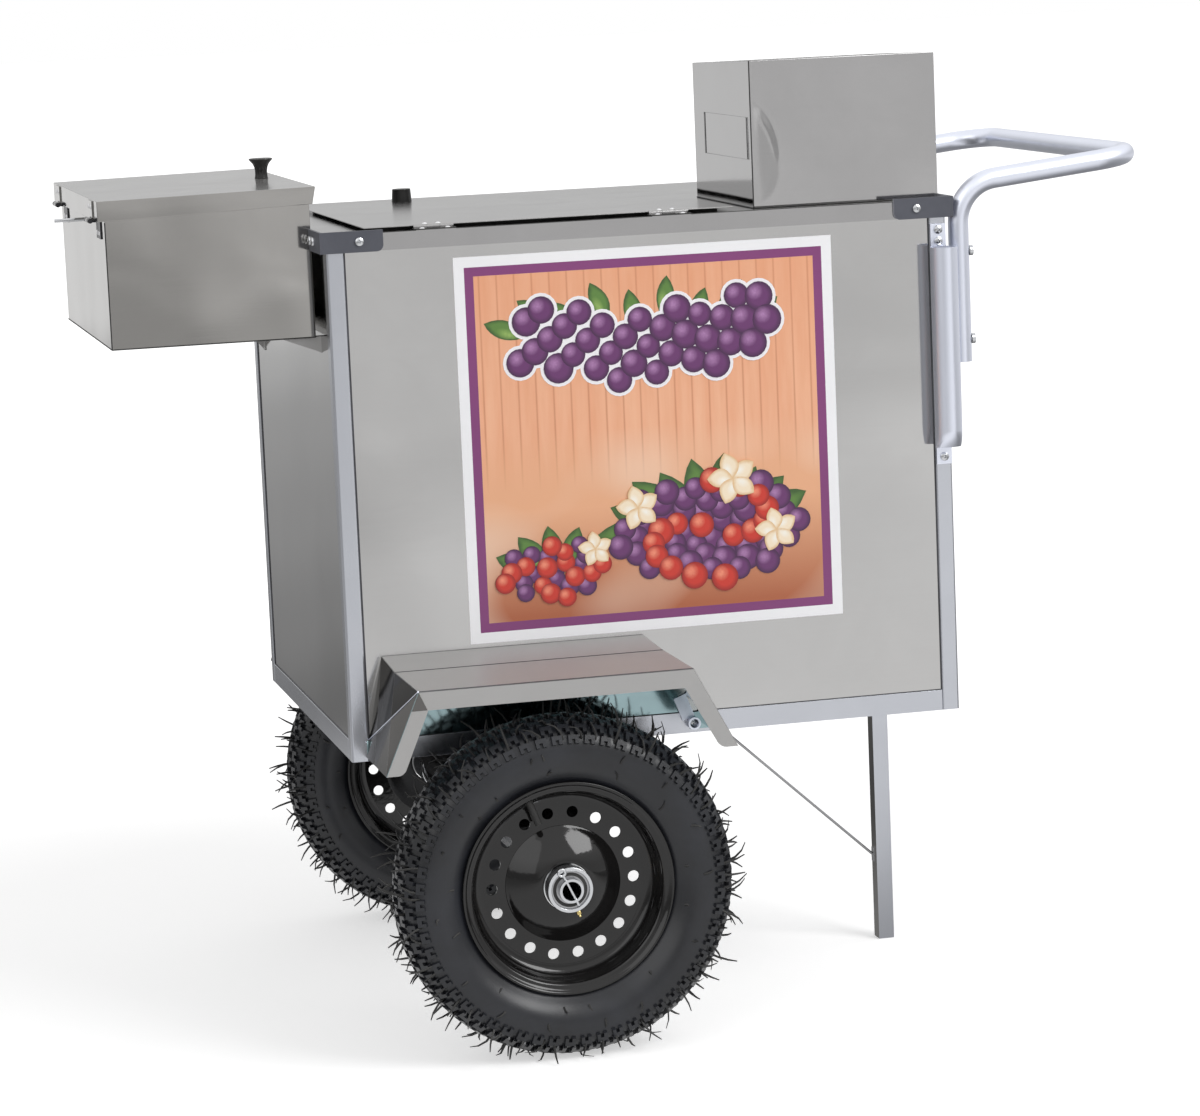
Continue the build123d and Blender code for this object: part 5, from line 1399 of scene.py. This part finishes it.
outline, berries, leaves = flat_shape(), flat_shape(), flat_shape()
for i in range(GARLAND):
    share = (i * GOLDEN_SHARE) % 1.0
    across = label_low.x + GARLAND_START + GARLAND_LENGTH * (i + 0.5) / GARLAND
    sag = GARLAND_SAG * (2 * (i + 0.5) / GARLAND - 1) ** 2
    up = GARLAND_FOOT + sag + GARLAND_DEPTH * share
    radius = BERRY + BERRY_MORE * seeds.random()
    dot(outline, across, up, radius + OUTLINE)
    dot(berries, across, up, radius)
for count, across, step, up, lift, cycle, length, width, turn, fan in LEAF_FANS:
    for i in range(count):
        leaf(leaves, across + step * i, up + lift * (i % cycle), length, width, turn - fan * i)
printed("label_leaves", leaves, leaf_ink, 1)
printed("label_outline", outline, outline_ink, 4)
printed("label_berries", berries, berry_ink, 9)

heap, reds, petals = flat_shape(), flat_shape(), flat_shape()
for across, up, count, gap, radius, every in HEAPS:
    for i in range(count):
        reach = gap * math.sqrt(i)
        aside = HEAP_WIDE * reach * math.cos(i * GOLDEN_ANGLE)
        above = HEAP_HIGH * reach * math.sin(i * GOLDEN_ANGLE)
        size = radius * (1 + HEAP_MORE * seeds.random())
        dot(reds if i % every == 1 else heap, across + aside, up + above, size)
for across, up, size in BLOSSOMS:
    for turn in range(0, 360, 360 // PETALS):
        leaf(petals, across, up, size, size * PETAL_WIDTH, turn + PETAL_TURN * size)
printed("label_heap", heap, berry_ink, 4)
printed("label_red_berries", reds, red_ink, 12)
printed("label_petals", petals, petal_ink, 18)

# %% [markdown]
# A tyre is a ring, so half of its section is drawn once, mirrored and spun round the axle. Subdivision
# rounds the section off.

# %% Tyre carcass
WHEELS = ((-1, "near_wheel"), (1, "far_wheel"))
SECTION = (
    (0.0250, 0.1030), (0.0257, 0.1135), (0.0330, 0.1200), (0.0405, 0.1310), (0.0428, 0.1415),
    (0.0418, 0.1530), (0.0375, 0.1635), (0.0280, 0.1705), (0.0140, 0.1745), (0.0, 0.1755),
)


def both_sides(section):
    """A whole section from the half that lies on the outer side of a wheel's middle."""
    return list(section) + [(-out, radius) for out, radius in reversed(section) if out > 0]


def wheel_point(side, out, radius):
    """A point of a wheel's section, above the axle: distance out from its middle, and radius."""
    return Vector((AXLE.x, side * (HALF_TRACK + out), AXLE.z + radius))


def turn_about_axle(shape, geom, steps, angle=2 * math.pi, copies=False):
    """Spin geometry round the axle, into a closed ring or as copies."""
    bmesh.ops.spin(
        shape, geom=geom, cent=AXLE, axis=(0, 1, 0), angle=angle, steps=steps, use_merge=not copies,
        use_duplicate=copies,
    )


def copied_round(shape, count):
    """Copy a whole shape round the axle until there are so many of it."""
    turn_about_axle(shape, all_of(shape), count - 1, 2 * math.pi * (count - 1) / count, copies=True)


def ring(shape, side, section, steps):
    """Spin a closed chain of points, given as distance out and radius, into a ring."""
    verts = [shape.verts.new(wheel_point(side, out, radius)) for out, radius in section]
    edges = [shape.edges.new(pair) for pair in zip(verts, verts[1:] + verts[:1])]
    turn_about_axle(shape, verts + edges, steps)


def smoothed_ring(name, side, section, made, body, steps=48):
    """A section spun round the axle and rounded by subdivision."""
    shape = bmesh.new()
    ring(shape, side, section, steps)
    piece = finish_piece(name, outward(shape), made, body, sharp=180)
    rounding = piece.modifiers.new("rounding", "SUBSURF")
    rounding.levels = rounding.render_levels = 2
    return piece


for side, body in WHEELS:
    carcass = smoothed_ring(body + "_tyre_carcass", side, both_sides(SECTION), tyre_rubber, body, 64)
    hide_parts(body.split("_")[0] + "_tyre")
    print(carcass.name)

# %% [markdown]
# The tread is one lug of each row, set on the carcass and copied round the axle by a spin that duplicates.
# A lug is a patch of six squares with one taken out, so it has the notched outline of a block tyre for soft
# ground.

# %% Tread lugs
PITCHES = 58
ROWS = (
    (0.0070, 0.1762, 0.0128, 0.0130, 4, 0.0),
    (0.0210, 0.1743, 0.0125, 0.0138, 13, 0.5),
    (0.0332, 0.1686, 0.0120, 0.0140, 38, 0.0),
    (0.0404, 0.1590, 0.0105, 0.0125, 70, 0.5),
)
LUG_DEPTH = 0.0066
LUG_TAPER = 0.86
LUG_SUNK = 0.68


def lug(shape, side, out, radius, width, length, lean, phase):
    """One notched lug, laid on the carcass and turned by its share of a pitch."""
    made = bmesh.ops.create_grid(shape, x_segments=3, y_segments=2, size=0.5)["verts"]
    cells = sorted({f for v in made for f in v.link_faces}, key=lambda f: f.calc_center_median().y)
    notch = min(cells[:3], key=lambda f: abs(f.calc_center_median().x))
    cells.remove(notch)
    bmesh.ops.delete(shape, geom=[notch], context="FACES_ONLY")
    bare = [e for e in {e for v in made for e in v.link_edges} if not e.link_faces]
    bmesh.ops.delete(shape, geom=bare, context="EDGES")
    top = points_of(bmesh.ops.extrude_face_region(shape, geom=cells)["geom"])
    bmesh.ops.translate(shape, verts=top, vec=UP)
    bmesh.ops.scale(shape, verts=top, vec=(LUG_TAPER, LUG_TAPER, 1))
    verts = [v for v in made if v.is_valid] + top
    bmesh.ops.scale(shape, verts=verts, vec=(length, width, LUG_DEPTH))
    laid = Matrix.Translation(wheel_point(side, out, radius))
    leaned = Matrix.Rotation(side * math.radians(-lean), 4, "X")
    sunk = Matrix.Translation((0, 0, -LUG_DEPTH * LUG_SUNK))
    bmesh.ops.transform(shape, matrix=laid @ leaned @ sunk, verts=verts)
    around = Matrix.Rotation(phase * 2 * math.pi / PITCHES, 3, "Y")
    bmesh.ops.rotate(shape, cent=AXLE, matrix=around, verts=verts)
    return verts


def tread(side, body):
    """All the lugs of a tyre."""
    shape = bmesh.new()
    for out, radius, width, length, lean, phase in ROWS:
        inner = lug(shape, -side, out, radius, width, length, lean, phase + 0.5)
        bmesh.ops.translate(shape, verts=inner, vec=(0, 2 * side * HALF_TRACK, 0))
        lug(shape, side, out, radius, width, length, lean, phase)
    copied_round(outward(shape), PITCHES)
    return finish_piece(body + "_tread", shape, tyre_rubber, body, sharp=25)


for side, body in WHEELS:
    made = tread(side, body)
    print(made.name, "faces:", len(made.data.polygons))

# %% [markdown]
# New tyres carry vent hairs, rubber threads left by the holes of the mould. Each is a four-sided thread,
# pulled out of a small ring in three steps, with a seeded bend. Near the ground they lie down on the floor.

# %% Vent hairs
HAIR_ROWS = ((0.0395, 0.1620, 52, 0.032), (0.0240, 0.1730, 42, 0.030), (0.0030, 0.1750, 30, 0.027))
SHORT_ROWS = ((0.0432, 0.1440, 15, 0.0119), (0.0372, 0.1260, 13, 0.0118))
HAIR_RADIUS = 0.0013
HAIR_ROOT = 0.003
HAIR_TAPER = (0.95, 0.85, 0.6)
HAIR_REST = 0.0014
HAIR_LOWEST = 0.0002
HAIR_STRAY = 0.4
HAIR_LENGTHS = (0.6, 1.12)
HAIR_LOOSE = 0.3
HAIR_BEND = 0.4
SPREAD_LONG, SPREAD_SHORT = 0.35, 0.55
HALF_TYRE = 0.045
chance = random.Random(7)


def thread(shape, root, way, length, lean):
    """Pull a thin thread out of the tyre: a ring of four, then three bent steps."""
    verts = bmesh.ops.create_circle(shape, segments=4, radius=HAIR_RADIUS, cap_ends=True)["verts"]
    face = verts[0].link_faces[0]
    bmesh.ops.transform(shape, matrix=Matrix.Translation(root - way * HAIR_ROOT) @ looking(way), verts=verts)
    step = way * (length / 3)
    for share in HAIR_TAPER:
        face = bmesh.ops.extrude_discrete_faces(shape, faces=[face])["faces"][0]
        tip = list(face.verts)
        middle = sum((v.co for v in tip), Vector()) / len(tip)
        move = Vector(step)
        move.z = max(move.z, HAIR_REST - middle.z)
        bmesh.ops.translate(shape, verts=tip, vec=move)
        bmesh.ops.scale(shape, verts=tip, vec=(share, share, share), space=Matrix.Translation(-middle - move))
        step = (step + lean * length / 3).normalized() * (length / 3)
    for vert in tip:
        vert.co.z = max(vert.co.z, HAIR_LOWEST)


def row_of_hairs(shape, side, hand, out, radius, count, length, aside):
    """One row of vent hairs round a wheel, on one hand of its middle."""
    for i in range(count):
        angle = 2 * math.pi * (i + chance.uniform(-HAIR_STRAY, HAIR_STRAY)) / count
        spoke = Vector((math.sin(angle), 0, math.cos(angle)))
        root = AXLE + spoke * radius + Vector((0, side * HALF_TRACK + hand * out, 0))
        sideways = Vector((0, hand * out / HALF_TYRE, 0))
        loose = Vector((chance.uniform(-1, 1), chance.uniform(-1, 1), chance.uniform(-1, 1)))
        along = (spoke + sideways * aside + loose * HAIR_LOOSE).normalized()
        thread(shape, root, along, length * chance.uniform(*HAIR_LENGTHS), loose * HAIR_BEND)


def hairs(side, body):
    """Every vent hair of a wheel, in rows over the tread and down the sidewall."""
    shape = bmesh.new()
    for rows, aside in ((HAIR_ROWS, SPREAD_LONG), (SHORT_ROWS, SPREAD_SHORT)):
        for row in rows:
            for hand in (-1, 1):
                row_of_hairs(shape, side, hand, *row, aside)
    bmesh.ops.holes_fill(shape, edges=shape.edges, sides=4)
    return finish_piece(body + "_vent_hairs", outward(shape), soft_rubber, body, sharp=60)


for side, body in WHEELS:
    made = hairs(side, body)
    print(made.name, "faces:", len(made.data.polygons))

# %% [markdown]
# The rim is a pressed steel ring: a rolled lip, a sloping seat and a flat disc with eighteen round holes
# that rises to a dome round the hub. The ring and the dome are spun and smoothed by subdivision. Holes
# can't be spun, so they are cut from the flat disc once, with eighteen short pegs.

# %% Rims
SEAT = (
    (0.0, 0.0850), (0.0013, 0.0856), (0.0014, 0.0878), (0.0019, 0.0904), (0.0031, 0.0932),
    (0.0053, 0.0958), (0.0086, 0.0979), (0.0130, 0.0993), (0.0185, 0.1002), (0.0240, 0.1010),
    (0.0266, 0.1026), (0.0274, 0.1056), (0.0284, 0.1080), (0.0302, 0.1096), (0.0312, 0.1112),
    (0.0309, 0.1128), (0.0292, 0.1130), (0.0276, 0.1112), (0.0264, 0.1090), (0.0261, 0.1058),
    (0.0256, 0.1038), (0.0235, 0.1032), (0.0180, 0.1024), (0.0125, 0.1016), (0.0072, 0.1000),
    (0.0034, 0.0974), (0.0, 0.0950),
)
DOME = (
    (0.0012, 0.0622), (0.0018, 0.0606), (0.0045, 0.0570), (0.0080, 0.0520), (0.0122, 0.0455),
    (0.0160, 0.0385), (0.0190, 0.0310), (0.0205, 0.0243), (0.0182, 0.0243), (0.0138, 0.0385),
    (0.0092, 0.0458), (0.0040, 0.0535), (0.0, 0.0590), (-0.0012, 0.0622),
)
DISC = ((0.0012, 0.0910), (0.0012, 0.0610), (-0.0012, 0.0610), (-0.0012, 0.0910))
HOLES = 18
HOLE_CIRCLE = 0.07575
HOLE_RADIUS = 0.006
PEG_LENGTH = 0.01


def holed_disc(side, body):
    """The flat disc of a rim with its ring of round holes."""
    blank = bmesh.new()
    ring(blank, side, DISC, 90)
    pegs = bmesh.new()
    peg = bmesh.ops.create_cone(
        pegs, cap_ends=True, segments=24, radius1=HOLE_RADIUS, radius2=HOLE_RADIUS, depth=PEG_LENGTH
    )["verts"]
    across = Matrix.Translation(wheel_point(side, 0, HOLE_CIRCLE)) @ Matrix.Rotation(math.radians(90), 4, "X")
    bmesh.ops.transform(pegs, matrix=across, verts=peg)
    bmesh.ops.rotate(pegs, cent=AXLE, matrix=Matrix.Rotation(math.pi / HOLES, 3, "Y"), verts=peg)
    copied_round(pegs, HOLES)
    shape = bmesh.new()
    shape.from_mesh(cut_once(outward(blank), outward(pegs)))
    return finish_piece(body + "_rim_disc", shape, gloss_black, body, sharp=30)


for side, body in WHEELS:
    seat = smoothed_ring(body + "_rim_ring", side, both_sides(SEAT), gloss_black, body)
    dome = smoothed_ring(body + "_rim_dome", side, DOME, gloss_black, body)
    disc = holed_disc(side, body)
    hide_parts(body.split("_")[0] + "_rim")
    print(seat.name, dome.name, disc.name)

# %% [markdown]
# The hub is a turned zinc bush with rounded edges; a brass grease nipple stands on its rim. The split pin
# that keeps the wheel on leans the other way in the picture, so its copy is mirrored about the axle.

# %% Hubs, grease nipples and split pins
NIPPLE = (
    (0.0, 0.0075), (0.0013, 0.0073), (0.0017, 0.0062), (0.0013, 0.0052), (0.0019, 0.0044),
    (0.0028, 0.0042), (0.0028, 0.0012), (0.0020, 0.0), (0.0, 0.0),
)
NIPPLE_TURN = 162
BEARING_SEAL = ((0.0344, 0.0148), (0.0344, 0.0182), (0.0334, 0.0182), (0.0334, 0.0148))
HUB_RIM = 0.0238
HUB_OUT = 0.0335
HUB_EDGE = 0.0009
PIN_EDGE = 0.0001


def leaning_the_other_way(shape):
    """Mirror a shape about the upright plane through the axle."""
    for vert in shape.verts:
        vert.co.x = 2 * AXLE.x - vert.co.x
    bmesh.ops.reverse_faces(shape, faces=shape.faces)


for node in ("near_hub", "far_hub"):
    softened(node, zinc, HUB_EDGE)
for side, body in WHEELS:
    shape = bmesh.new()
    made = spun(shape, NIPPLE, 12)
    bmesh.ops.translate(shape, verts=made, vec=wheel_point(side, HUB_OUT, HUB_RIM))
    turn = Matrix.Rotation(math.radians(NIPPLE_TURN), 3, "Y")
    bmesh.ops.rotate(shape, cent=AXLE, matrix=turn, verts=made)
    print(finish_piece(body + "_grease_nipple", outward(shape), brass, body).name)
    shape = bmesh.new()
    for hand in (-1, 1):
        ring(shape, side, [(hand * out, radius) for out, radius in BEARING_SEAL], 36)
    print(finish_piece(body + "_bearing_seals", outward(shape), soft_rubber, body).name)
softened("split_pins", zinc, PIN_EDGE, leaning_the_other_way, sharp=60)
